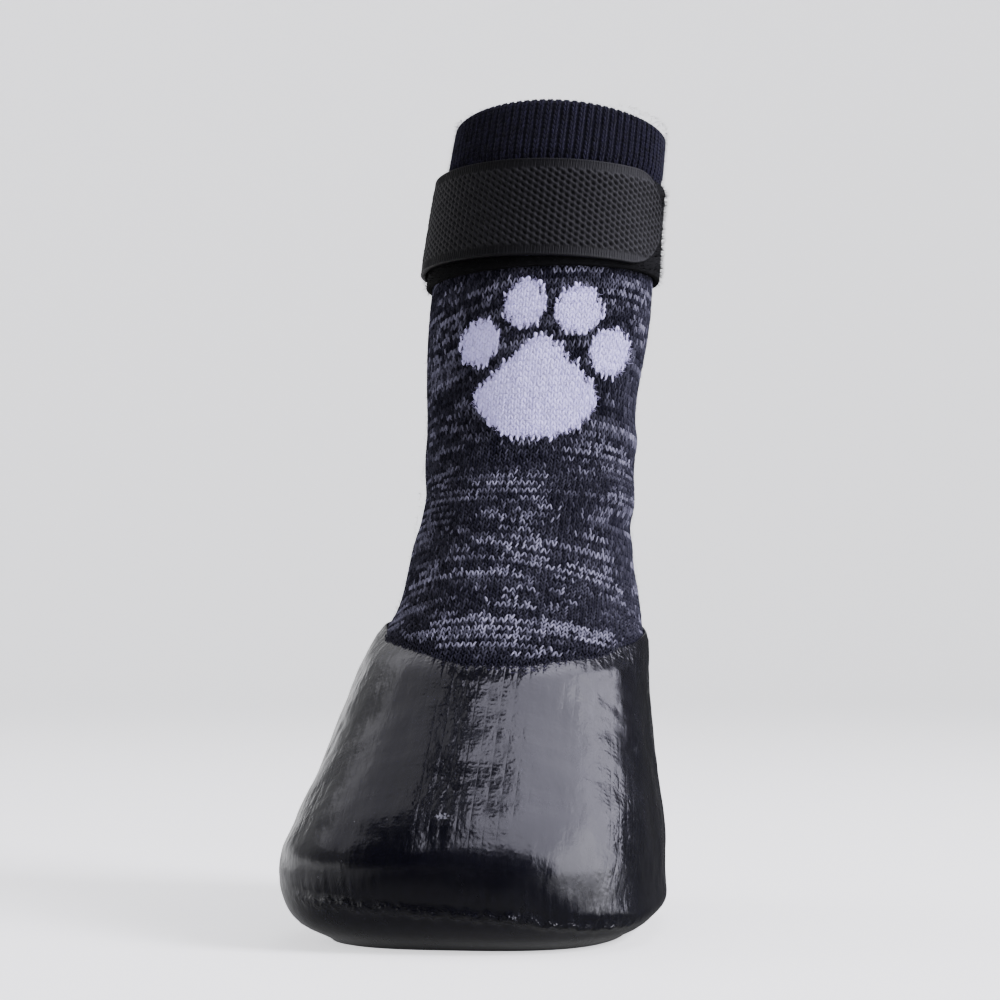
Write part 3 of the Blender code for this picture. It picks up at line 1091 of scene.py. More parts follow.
@dataclass(frozen=True)
class PileFinish:
    """Brushed loops or loose fibres of one colour, paler towards their tips."""

    name: str
    root: Colour
    tip: Colour

    def material(self, effects: Effects) -> Material:
        """The pile's material."""
        bench = Coat(self.name)
        fibres = effects.place(bench, Effect.FIBRES, Place=bench.object_place(), Scale=LOFT_FIBRES)
        share = bench.times(bench.value("tip"), bench.fade(fibres["Shade"], 0.5, 1.0))
        rough = bench.fade(fibres["Shade"], 0.8, 1.0)
        return bench.finish(bench.mix(share, self.root, self.tip), rough, 0.15)


# ---------------- sub-assemblies

GAP = 0.3
KNIT_WALL = 1.6
DIP_LINE = 57.0
CUFF_SEAM = 146.0
COLLAR = 166.5
CUFF_WALL = 2.0
CUFF_BULGE = 0.5
RUBBER_SIDE = 0.8
RUBBER_SOLE = 1.5
SEAM_HEIGHT = 8.2
SEAM_RIDGE = 0.36
TAPE_WIDTH = 20.0
LOOP_TAPE = 1.4
HOOK_TAPE = 1.2
LOOP_TAPE_MIDDLE = 141.3
LOOP_TAPE_SKEW = 1.1
HOOK_TAPE_MIDDLE = 143.0
STRAP_START = math.radians(-178.0)
STRAP_TIP = math.radians(75.0)
TIP_LENGTH = math.radians(24.0)

LEG_FOLDS = (
    Crease((84.0, 40.0), (77.0, 76.0), (80.0, 122.0), 2.8, 0.75),
    Crease((89.0, 50.0), (83.0, 80.0), (86.0, 120.0), 4.0, -0.35),
    Crease((84.0, -44.0), (77.0, -78.0), (80.0, -122.0), 2.6, 0.35),
    Crease((90.0, -50.0), (82.0, -80.0), (84.0, -122.0), 7.0, 1.35),
    Crease((100.0, 62.0), (97.0, 84.0), (98.0, 118.0), 3.4, -0.65),
    Crease((76.0, 120.0), (68.0, 92.0), (65.0, 62.0), 3.5, 0.45),
    Crease((72.0, -120.0), (66.0, -80.0), (62.0, -50.0), 4.5, 0.4),
    Crease((108.0, -130.0), (100.0, -90.0), (98.0, -60.0), 6.0, 0.4),
    Crease((112.0, 100.0), (106.0, 74.0), (104.0, 50.0), 5.0, 0.3),
)


def dip_line(angle: Array) -> Array:
    """The rubber's rim, which climbs on the -X side of the instep."""
    turned = np.degrees(np.mod(angle + math.pi, FULL_TURN) - math.pi)
    return DIP_LINE + 3.0 * eased(turned, 4.0, -38.0) * eased(turned, -130.0, -85.0)


@dataclass
class KnitLeg:
    """Leg and foot in marled yarn: a ground with purl inside, and a V of two legs for every stitch.

    Ground is the offset of the closed tube's outside. In front the yarn's own stretches are calmed by
    quiet_front towards resting. Ragged is how far the paw's edge strays up and aside.
    """

    last: Last
    spindle: Spindle
    fabric: LegFabric
    paw: PawMotif = field(default_factory=PawMotif)
    seed: int = 7
    ground: float = -0.46
    columns: int = 216
    paw_lift: float = 0.18
    quiet_front: float = 0.62
    resting: float = 0.04
    contrast: float = 1.15
    loose: float = 0.20
    ragged: Pair = (0.40, 0.35)
    rim_hidden: float = 5.0
    top_hidden: float = 134.8

    def build_ground(self, finish: Material) -> None:
        """The closed tube under the stitches, with the wall's full thickness."""
        low_rows = np.arange(8.0, 94.0, 3.0)
        paw_rows = np.arange(94.0, 132.0, 1.0)
        top_rows = np.arange(132.0, 146.1, 3.5)
        heights = [UNDERSIDE + 0.02, 4.0, *np.concatenate([low_rows, paw_rows, top_rows]).tolist()]
        outside = [(height, self.ground) for height in heights]
        inside = [(height, -KNIT_WALL) for height in reversed(heights[::2])]
        mesh = self.spindle.turn(outside + inside, self.columns, closed=True)
        height, share, offset = self.spindle.places(mesh)
        angle = self.last.spacing.angle(height, share)
        level = self.last.surface(height, angle)
        white = self.paw.covers(height, angle) & (offset > -1.2)
        offset = offset + self.paw_lift * white - self.folds(height, level)
        write_points(mesh, self.last.skin(height, angle, offset))
        turns = np.abs(share - 0.5) * self.fabric.wales
        add_map(mesh, "stitches", np.stack([turns, height / self.fabric.course], axis=1))
        add_values(mesh, "paw", white)
        Dressing(finish, "marled_yarn", "knit_upper").put_on("knit_ground", mesh)

    def folds(self, height: Array, points: Array) -> Array:
        """How deep the leg's soft folds are at some points, nothing under the rubber and the tapes."""
        free = eased(height, DIP_LINE, DIP_LINE + 6.0) * eased(height, 130.0, 122.0)
        return self.last.hollows(LEG_FOLDS, points) * free

    def build_stitches(self, yarn: Material, white: Material) -> None:
        """Every visible stitch, its marl and the paw."""
        draw = np.random.default_rng(self.seed)
        course, wale, side = every_leg(np.arange(2, self.fabric.courses - 1), np.arange(self.fabric.wales))
        height, angle = self.fabric.place(wale + 0.0, course + 0.0)
        shown = (height > DIP_LINE - self.rim_hidden) & (height < self.top_hidden)
        course, wale, side, height, angle = (values[shown] for values in (course, wale, side, height, angle))
        soaked = eased(height - dip_line(angle), 0.9, -0.9)
        legs = Legs(wale, course, side, self.marl(wale, course, draw) * (1 - 0.88 * soaked))
        up, aside = draw.normal(size=(2, len(height)))
        up, aside = up * self.ragged[0], aside * (self.ragged[1] / self.paw.radius)
        in_paw = self.paw.covers(height + up, angle + aside)
        band = np.digitize(height, (80.0, 106.0))
        for number, part in enumerate(("ankle", "leg", "top")):
            chosen = legs.some((band == number) & ~in_paw)
            self._knit(f"knit_stitches_{part}", chosen, LEG_STITCH, Dressing(yarn, "marled_yarn"), draw)
        bright = np.clip(0.9 + 0.06 * draw.normal(size=in_paw.sum()), 0.0, 1.0)
        paw = replace(legs.some(in_paw), lightness=bright)
        self._knit("paw_stitches", paw, PAW_STITCH, Dressing(white), draw)

    def marl(self, wale: Array, course: Array, draw: Draw) -> Array:
        """Each leg's lightness, from the yarn's own stretches and the listed patches in front.

        Args:
            wale: Each leg's wale.
            course: Its course.
            draw: The source of random numbers.

        Returns:
            A lightness from 0 to 1 for each leg.
        """
        value = YarnRuns(self.seed + 4, self.fabric.wales, self.fabric.courses).lightness(wale, course)
        half = self.fabric.wales // 2
        signed = np.mod(wale + half, self.fabric.wales) - half
        # Painted light: the calm is weaker on the -X side, so the marl stays lighter where soft light falls
        # there.
        calm = self.quiet_front * eased(np.abs(signed), 31.0, 24.0) * (1 - 0.75 * eased(-signed, 8.0, 15.0))
        value = value + calm * (self.resting - value)
        chance = draw.random(len(value))
        strength = draw.uniform(0.6, 1.3, len(value) // 2).repeat(2) * draw.uniform(0.75, 1.15, len(value))
        # Listed patches: marl, with painted shade on the +X side and painted sheen near the -X edge.
        for streak in MARL_SHADE_AND_SHEEN_STREAKS:
            step = 2 if streak.tone > 0.2 else 1
            rise = course - streak.course
            along = (signed >= streak.first) & (signed <= streak.last)
            along &= (rise >= 0) & (rise < step * streak.rows)
            to_end = np.minimum(signed - streak.first, streak.last - signed)
            full = streak.fullness * np.clip(0.45 + 0.3 * to_end, 0.0, 1.0)
            full = np.where(rise % step == 0, full, 0.22 * full)
            value = np.where(along & (chance < full), streak.tone * strength, value)
        return np.clip(value + 0.05 * draw.normal(size=len(value)), 0.0, 1.0) ** self.contrast

    def _knit(self, name: str, legs: Legs, form: StitchForm, dressing: Dressing, draw: Draw) -> None:
        """One joined piece of stitch legs, each a little off its place.

        Args:
            name: The piece's name.
            legs: The legs to knit.
            form: How a leg lies.
            dressing: The piece's finish and slot.
            draw: The source of random numbers.
        """
        grain = Grain.rice(4, 3)
        count = len(legs.wale)
        jitter = np.clip(1 + self.loose * draw.normal(size=count), 0.55, 1.5)
        wales, courses, rise = form.points(legs, grain, jitter)
        wales = wales + 0.035 * draw.normal(size=count)[:, None]
        courses = courses + 0.07 * draw.normal(size=count)[:, None]
        height, angle = self.fabric.place(wales, courses)
        rise = rise + 0.03 * draw.normal(size=count)[:, None]
        flat = self.last.skin(height.ravel(), angle.ravel(), 0.0)
        depth = self.folds(height.ravel(), flat).reshape(height.shape)
        mesh = grain.join(name, self.last.skin(height, angle, rise - depth))
        add_values(mesh, "lightness", np.repeat(legs.lightness, len(grain.points)))
        dressing.put_on(name, mesh)


@dataclass
class RibCuff:
    """The ribbed cuff: ribs of stitches with valleys between, turned over at the top."""

    last: Last
    spindle: Spindle
    ribs: int = 80
    profile_points: int = 58
    course: float = 1.0
    valley: float = 0.42
    seed: int = 21
    sag: float = 1.5
    sag_lean: float = 0.6
    lowest: float = 152.5
    turned_in: float = 5.0

    def path(self) -> tuple[Array, Array, Array]:
        """The cuff's profile from its seam over the rounded top and down inside.

        Returns:
            Its points' heights, their offsets, and how far along the profile each one is.
        """
        rise = [(CUFF_SEAM + GAP, -0.1), (153.0, 0.0), (156.0, CUFF_BULGE), (161.0, CUFF_BULGE)]
        rise += [(COLLAR - 2.0, CUFF_BULGE * 0.9)]
        middle = (CUFF_BULGE * 0.9 - CUFF_WALL) / 2
        reach = (CUFF_BULGE * 0.9 + CUFF_WALL) / 2
        for turn in np.linspace(20.0, 160.0, 8):
            radians = math.radians(turn)
            rise.append((COLLAR - 1.35 + 1.25 * math.sin(radians), middle + reach * math.cos(radians)))
        rise += [(COLLAR - 2.4, -CUFF_WALL), (CUFF_SEAM + GAP, -CUFF_WALL)]
        profile = np.array(rise)
        return profile[:, 0], profile[:, 1], walk(profile)

    def sagged(self, height: Array, share: Array) -> Array:
        """Heights with the rim let down at the sides, more at the +X side."""
        turn = FULL_TURN * share
        drop = self.sag * np.sin(turn) ** 2 + self.sag_lean * np.sin(turn)
        return height - drop * eased(height, 152.0, COLLAR)

    def build_ground(self, finish: Material) -> None:
        """The closed ring under the stitches, grooved between the ribs, with painted shade in the grooves."""
        heights, offsets, walked = self.path()
        places = np.linspace(0.0, walked[-1], self.profile_points)
        profile = np.stack([np.interp(places, walked, values) for values in (heights, offsets)], axis=1)
        mesh = self.spindle.turn(profile.tolist(), self.ribs * 8, closed=True)
        height, share, offset = self.spindle.places(mesh)
        outer = eased(offset, -1.6, -0.8)
        groove = 0.5 - 0.5 * np.cos(FULL_TURN * share * self.ribs)
        sunk = self.valley * (1 - groove) * (0.35 + 0.65 * outer) + 0.12
        inward = np.where(offset > -CUFF_WALL * 0.45, -sunk, 0.25 * sunk)
        points = self.spindle.draw(self.sagged(height, share), share, offset + inward)
        write_points(mesh, points)
        add_map(mesh, "stitches", np.stack([share * self.ribs * 2, height / self.course], axis=1))
        # Painted shade: the ground's lightness runs from 0.6 on the rib crests down to 0.15 in the valleys
        # between.
        add_values(mesh, "lightness", 0.15 + 0.45 * groove)
        Dressing(finish, "navy_yarn", "rib_cuff").put_on("cuff_ground", mesh)

    def build_stitches(self, yarn: Material) -> None:
        """The raised stitches of each rib, outside, over the top and a little way down inside."""
        heights, offsets, walked = self.path()
        first = np.interp(self.lowest, heights[:6], walked[:6]) / self.course
        last = (walked[-2] + self.turned_in) / self.course
        draw = np.random.default_rng(self.seed)
        course, rib, side = every_leg(np.arange(int(first), int(last)), np.arange(self.ribs) + 0.5)
        grain = Grain.rice(4, 3)
        jitter = np.clip(1 + 0.1 * draw.normal(size=len(rib)), 0.7, 1.3)
        lightness = np.clip(0.55 + 0.25 * draw.normal(size=len(rib)), 0.0, 1.0)
        ribs, courses, rise = CUFF_STITCH.points(Legs(rib, course, side, lightness), grain, jitter)
        way = courses * self.course
        height = np.interp(way, walked, heights)
        offset = np.interp(way, walked, offsets)
        ahead = np.interp(way + 0.3, walked, heights) - np.interp(way - 0.3, walked, heights)
        over = np.interp(way + 0.3, walked, offsets) - np.interp(way - 0.3, walked, offsets)
        size = np.hypot(ahead, over)
        height = height - rise * over / size
        offset = offset + rise * ahead / size
        share = ribs / self.ribs
        height = self.sagged(height, share)
        points = self.spindle.draw(height.ravel(), share.ravel(), offset.ravel()).reshape(*height.shape, 3)
        mesh = grain.join("cuff_stitches", points)
        add_values(mesh, "lightness", np.repeat(lightness, len(grain.points)))
        Dressing(yarn, "navy_yarn").put_on("cuff_stitches", mesh)


RUBBER_CREASES = (
    Crease((52.0, 66.0), (49.0, 50.0), (50.5, 34.0), 0.8, 0.30),
    Crease((49.0, 68.0), (46.5, 54.0), (47.5, 40.0), 0.8, 0.28),
    Crease((46.0, 66.0), (43.5, 56.0), (44.5, 44.0), 0.8, 0.25),
    Crease((42.5, 64.0), (40.0, 55.0), (41.0, 47.0), 0.9, 0.22),
    Crease((38.0, 62.0), (34.0, 52.0), (35.0, 42.0), 0.9, 0.20),
    Crease((54.0, -84.0), (50.0, -66.0), (51.0, -48.0), 1.0, 0.40),
    Crease((51.0, -88.0), (47.0, -68.0), (46.0, -50.0), 1.0, 0.32),
    Crease((48.0, -84.0), (43.0, -66.0), (41.0, -50.0), 1.1, 0.28),
    Crease((41.0, -30.0), (35.0, -40.0), (27.0, -52.0), 0.8, 0.24),
    Crease((37.0, -26.0), (31.0, -36.0), (24.0, -46.0), 0.8, 0.20),
    Crease((44.0, -56.0), (36.0, -62.0), (28.0, -70.0), 1.6, 0.30),
    Crease((54.0, 110.0), (46.0, 96.0), (34.0, 84.0), 1.4, 0.30),
    Crease((56.0, 96.0), (50.0, 86.0), (42.0, 76.0), 1.2, 0.28),
    Crease((50.0, 150.0), (42.0, 130.0), (38.0, 108.0), 1.8, 0.35),
    Crease((50.0, -150.0), (42.0, -130.0), (38.0, -108.0), 1.8, 0.35),
    Crease((34.0, 170.0), (30.0, 150.0), (32.0, 128.0), 2.0, 0.30),
    Crease((34.0, -170.0), (30.0, -150.0), (32.0, -128.0), 2.0, 0.30),
)


@dataclass
class RubberFoot:
    """The dipped rubber coat: a thin shell with a rim, a bumpy toe seam, creases and the knit's relief.

    Rim sinks are how far the rim's face and back sink into the knit in front, swells the heights of wide
    and close unevenness, and scuff the height of a small scuff and how far round it is from the toe.
    """

    last: Last
    spindle: Spindle
    fabric: LegFabric
    columns: int = 560
    crowding: float = 0.45
    rim_wave: float = 0.45
    rim_sinks: Pair = (1.25, 0.70)
    seam_width: float = 0.48
    seam_trough: float = 0.22
    gathers: float = 0.10
    swells: Pair = (0.10, 0.035)
    scuff: Pair = (25.5, 0.3)
    seed: int = 5
    outside: list[Pair] = field(init=False)

    def __post_init__(self) -> None:
        """Lays out the profile of the outside, from the sole's middle to the rim."""
        face = GAP + RUBBER_SIDE
        sole = [(0.0, -Spindle.FACE * inward) for inward in (1.0, 0.9, 0.75, 0.6, 0.45, 0.3, 0.15, 0.05, 0.0)]
        corner = [(1.83, 1.76), (1.95, 1.66), (2.2, 1.54), (2.6, 1.44), (3.1, 1.36), (3.7, 1.26), (4.4, 1.16)]
        levels = (np.arange(5.0, 10.4, 0.24), np.arange(10.4, DIP_LINE - 1.6, 0.7))
        side = [(height, face) for height in np.concatenate(levels).tolist()]
        rim = [(DIP_LINE - 1.2, 0.92), (DIP_LINE - 0.7, 0.84), (DIP_LINE - 0.3, 0.76)]
        rim += [(DIP_LINE, 0.62), (DIP_LINE + 0.1, 0.44), (DIP_LINE + 0.02, 0.3)]
        self.outside = sole + corner + side + rim

    def build(self, finish: Material) -> None:
        """The whole coat as one closed shell."""
        inside = [(float(height), GAP) for height in np.arange(DIP_LINE - 3.0, 4.0, -4.0)]
        inside += [(1.85, GAP)]
        inside += [(RUBBER_SOLE, -Spindle.FACE * inward) for inward in (0.0, 0.5, 1.0)]
        mesh = self.spindle.turn(self.outside + inside, self.columns, closed=False)
        height, share, offset = self.spindle.places(mesh)
        share = share - self.crowding * np.sin(FULL_TURN * share) / FULL_TURN
        angle = self.last.spacing.angle(np.maximum(height, UNDERSIDE + 0.02), share)
        outer = (offset > GAP + 0.02) & (height > UNDERSIDE)
        base = self.spindle.draw(height, share, offset)
        way = (np.mod(share + 0.5, 1.0) - 0.5) * self.last.spacing.length(SEAM_HEIGHT)
        offset = offset + np.where(outer, self.relief(height, angle, way, base), 0.0)
        soaking = self.front(angle) * eased(height, DIP_LINE - 4.5, DIP_LINE - 0.5)
        offset = offset - soaking * np.where(offset > GAP + 0.02, *self.rim_sinks)
        rim = eased(height, DIP_LINE - 4.0, DIP_LINE)
        height = height + rim * self.rim_wave * self.waviness(angle)
        height = height + eased(height, DIP_LINE - 10.0, DIP_LINE) * (dip_line(angle) - DIP_LINE)
        points = self.spindle.draw(height, share, offset)
        points[:, 2] = np.maximum(points[:, 2], 0.0)
        write_points(mesh, points)
        add_map(mesh, "stitches", self.stitch_map(points))
        add_values(mesh, "relief", self.relief_strength(height, angle, points))
        away = self.from_seam(height, way)
        add_values(mesh, "seam", self.toe_share(angle) * bell(away, 0.0, 0.8))
        gathered = eased(away, 0.5, 1.3) * eased(away, 7.0, 2.0)
        add_values(mesh, "gathers", self.toe_share(angle) * gathered)
        add_values(mesh, "scuffed", bell(height, self.scuff[0], 0.8) * bell(way, self.scuff[1], 2.2))
        Dressing(finish, "dipped_rubber", "rubber_foot").put_on("rubber_coat", mesh)

    def waviness(self, angle: Array) -> Array:
        """How the dip line wanders round the leg."""
        return 0.5 * np.sin(3 * angle + 0.6) + 0.3 * np.sin(7 * angle + 2.0) + 0.25 * np.sin(13 * angle)

    @staticmethod
    def front(angle: Array) -> Array:
        """1 across the front of the leg and 0 behind its sides."""
        return eased(np.cos(angle), 0.1, 0.6)

    def relief(self, height: Array, angle: Array, way: Array, points: Array) -> Array:
        """What the coat's outside adds to its plain offset: seam, gathers, creases and unevenness.

        Args:
            height: Each point's level on the last.
            angle: Its angle on the last.
            way: How far round it is from the toe's middle, in millimetres.
            points: Where it stands with its plain offset.

        Returns:
            The offset added at each point.
        """
        phases = np.random.default_rng(self.seed).uniform(0.0, FULL_TURN, 6)
        fade = self.toe_share(angle)
        beads = 0.70 + 0.16 * np.sin(way * 3.1 + phases[0]) + 0.20 * np.sin(way * 5.3 + phases[1])
        beads = beads + 0.20 * np.sin(way * 0.9 + phases[2]) + 0.12 * np.sin(way * 1.9 + phases[3])
        away = self.from_seam(height, way)
        ridge = SEAM_RIDGE * fade * beads * bell(away, 0.0, self.seam_width)
        trough = self.seam_trough * fade * bell(away, 1.4, 0.6)
        gather = np.sin(way * 3.3 + phases[4]) * (0.6 + 0.4 * np.sin(way * 1.27 + phases[5]))
        gather = gather * self.gathers * fade * eased(away, 0.8, 1.6) * eased(away, 8.0, 2.0)
        wide, close = self.swells
        swell = wide * Unevenness(3, 12.0).at(points) + close * Unevenness(4, 4.5).at(points)
        swell = swell * eased(height, 6.0, 12.0) * eased(height, DIP_LINE, DIP_LINE - 6.0)
        left, right = np.clip(-np.sin(angle), 0.0, 1.0), np.clip(np.sin(angle), 0.0, 1.0)
        corner = (0.25 + 0.95 * left - 0.35 * right) * bell(height, 5.2, 2.3)
        corner = corner - 0.80 * right * bell(height, 11.0, 4.5)
        creases = self.last.hollows(RUBBER_CREASES, points)
        return ridge - trough + gather + swell + corner - creases

    @staticmethod
    def toe_share(angle: Array) -> Array:
        """1 across the toe, where the seam shows, and 0 behind its sides."""
        return eased(np.cos(angle - 0.25), 0.35, 0.85)

    def from_seam(self, height: Array, way: Array) -> Array:
        """How far above the wandering toe seam each place is."""
        wander = 0.18 * np.sin(way * 1.7 + self.seed) + 0.10 * np.sin(way * 0.6)
        return height - SEAM_HEIGHT - wander + 1.5 * eased(way, 8.0, 30.0)

    def stitch_map(self, points: Array) -> Array:
        """Places counted in wales and courses, the wales running down the instep and along the foot."""
        down = np.array([0.0, -0.63, -0.776])
        up = np.array([0.0, -0.776, 0.63])
        rel = points - np.array([0.0, -30.0, 22.0])
        turned = np.abs(np.arctan2(rel[:, 0], rel @ up))
        return np.stack([turned * 27.0 / self.fabric.front_wale, rel @ down / self.fabric.course], axis=1)

    def relief_strength(self, height: Array, angle: Array, points: Array) -> Array:
        """How much of the knit shows through the coat, most near the rim and along the sides."""
        sides = eased(np.abs(np.sin(angle - 0.1)), 0.45, 0.95)
        under_rim = height - dip_line(angle)
        near_rim = 0.35 * eased(under_rim, -7.0, 0.0) + 0.75 * eased(under_rim, -3.4, -1.0)
        near_rim = near_rim * (0.15 + 0.85 * self.front(angle))
        middle = eased(np.abs(points[:, 0] - 3.0), 16.0, 4.0) * eased(height, 14.0, 26.0)
        patches = np.clip(0.5 + 0.5 * Unevenness(12, 16.0).at(points), 0.0, 1.0)
        strength = 0.10 + 0.12 * patches + 0.45 * sides * patches + near_rim + 0.30 * middle
        return strength * eased(height, 6.0, 14.0)


def tape_way(last: Last, height: float) -> tuple[Array, Array]:
    """Angles round the leg and the distance walked from the front at each, at one height."""
    angles = np.linspace(-FULL_TURN / 2, FULL_TURN / 2, 1441)
    ring = last.surface(np.full(len(angles), height), angles)
    walked = walk(ring)
    return angles, walked - np.interp(0.0, angles, walked)


@dataclass(frozen=True)
class TapeOutline:
    """A tape's cross-section, sampled closely on its face and sparsely on its back."""

    seat: float
    thickness: float
    edge: float = 0.4
    face_rows: int = 96

    def points(self) -> list[Pair]:
        """Points as (share of the half width, offset), from the lower back corner over the face and back."""
        outer = self.seat + self.thickness
        half = TAPE_WIDTH / 2
        corner = self.edge / half
        line = [(-1.0, self.seat), (-1.0, outer - self.edge), (-1.0 + corner * 0.3, outer - self.edge * 0.3)]
        line += [(share, outer) for share in np.linspace(-1 + corner, 1 - corner, self.face_rows).tolist()]
        line += [(1.0 - corner * 0.3, outer - self.edge * 0.3), (1.0, outer - self.edge), (1.0, self.seat)]
        line += [(0.4, self.seat), (-0.4, self.seat), (-1.0, self.seat)]
        return line


def tape_grid(stations: int, outline: list[Pair]) -> tuple[Form, Array, Array]:
    """A grid for a tape: its bmesh, and each vertex's station and place in the outline."""
    bm = bmesh.new()
    rows = len(outline) - 1
    bmesh.ops.create_grid(bm, x_segments=stations, y_segments=rows, size=1.0)
    places = np.array([vert.co for vert in bm.verts])
    station = np.rint((places[:, 0] + 1) / 2 * stations).astype(int)
    row = np.rint((places[:, 1] + 1) / 2 * rows).astype(int)
    return bm, station, row


def close_tape(bm: Form, points: Array, name: str) -> Mesh:
    """Moves a tape's grid into place, sews its long edges together and fills its ends."""
    for vert, point in zip(bm.verts, points):
        vert.co = point
    bmesh.ops.remove_doubles(bm, verts=bm.verts, dist=1e-3)
    rims = [edge for edge in bm.edges if edge.is_boundary]
    if rims:
        bmesh.ops.holes_fill(bm, edges=rims, sides=0)
    bmesh.ops.recalc_face_normals(bm, faces=bm.faces)
    mesh = as_mesh(bm, name)
    write_points(mesh, read_points(mesh))
    return mesh


@dataclass
class LoopStrap:
    """The brushed loop tape round the top of the leg: a band with a pile of fine loops."""

    last: Last
    stations: int = 192
    fibres: int = 7500
    seed: int = 31

    def middle(self, angle: Array) -> Array:
        """Height of the tape's middle, which climbs towards the +X side."""
        return LOOP_TAPE_MIDDLE + LOOP_TAPE_SKEW * np.sin(angle)

    def build_band(self, finish: Material) -> None:
        """The woven ground under the pile."""
        outline = TapeOutline(GAP, LOOP_TAPE - 0.3, face_rows=14).points()
        bm, station, row = tape_grid(self.stations, outline)
        share, offset = np.array(outline)[row].T
        angle = FULL_TURN * station / self.stations
        points = self.last.skin(self.middle(angle) + share * TAPE_WIDTH / 2, angle, offset)
        mesh = close_tape(bm, points, "loop_tape")
        add_values(mesh, "tip", np.full(len(mesh.vertices), 0.2))
        Dressing(finish, "loop_pile", "loop_strap").put_on("loop_tape", mesh)

    def build_pile(self, finish: Material) -> None:
        """Short curled fibres over the band's face and edges."""
        draw = np.random.default_rng(self.seed)
        angle = draw.uniform(0.0, FULL_TURN, self.fibres)
        share = draw.uniform(-1.0, 1.0, self.fibres)
        edge = np.abs(share) > 0.97
        height = self.middle(angle) + share * TAPE_WIDTH / 2
        face = GAP + LOOP_TAPE - 0.5
        seat = np.where(edge, draw.uniform(GAP + 0.2, face, self.fibres), face)
        root = self.last.skin(height, angle, seat)
        outward = self.last.outward(height, angle)
        outward = outward + edge[:, None] * np.sign(share)[:, None] * np.array([0.0, 0.0, 1.4])
        pile = Fibres("loop_pile", (0.6, 2.4), 0.060, 0.75)
        Dressing(finish, "loop_pile").put_on(pile.name, fibre_mesh(pile, root, outward, draw))


@dataclass(frozen=True)
class Fibres:
    """Loose fibres: the shortest and longest, their radius, and how far they curl, as a share of a length.

    Offset is how far off the knit they start, and slant how far they lean at random.
    """

    name: str
    lengths: Pair
    radius: float
    curl: float = 0.8
    offset: float = 0.0
    slant: float = 0.0


def fibre_mesh(fibres: Fibres, root: Array, outward: Array, draw: Draw) -> Mesh:
    """Loose curled fibres standing on a surface, as one joined mesh.

    Args:
        fibres: Their name, lengths, radius and curl.
        root: Where each fibre starts, in millimetres.
        outward: The direction in which each one stands.
        draw: The source of random numbers.

    Returns:
        The mesh, with how near each vertex is to its fibre's tip.
    """
    grain = Grain.hair(3, 1)
    outward = outward / np.linalg.norm(outward, axis=1, keepdims=True)
    aside = np.cross(outward, draw.normal(size=outward.shape))
    aside /= np.linalg.norm(aside, axis=1, keepdims=True)
    across = np.cross(outward, aside)
    x, y, z = grain.points.T
    along = (z + 1) / 2
    length = draw.uniform(*fibres.lengths, len(root))[:, None]
    bend = fibres.curl * draw.uniform(0.4, 1.3, len(root))[:, None] * length
    rise = length * (along - 0.45 * fibres.curl * along**2)[None, :]
    shift = bend * (along**2)[None, :]
    points = (
        root[:, None, :]
        + rise[..., None] * outward[:, None, :]
        + (shift + fibres.radius * x[None, :])[..., None] * aside[:, None, :]
        + (fibres.radius * y)[None, :, None] * across[:, None, :]
    )
    mesh = grain.join(fibres.name, points)
    add_values(mesh, "tip", np.tile(along, len(root)))
    return mesh


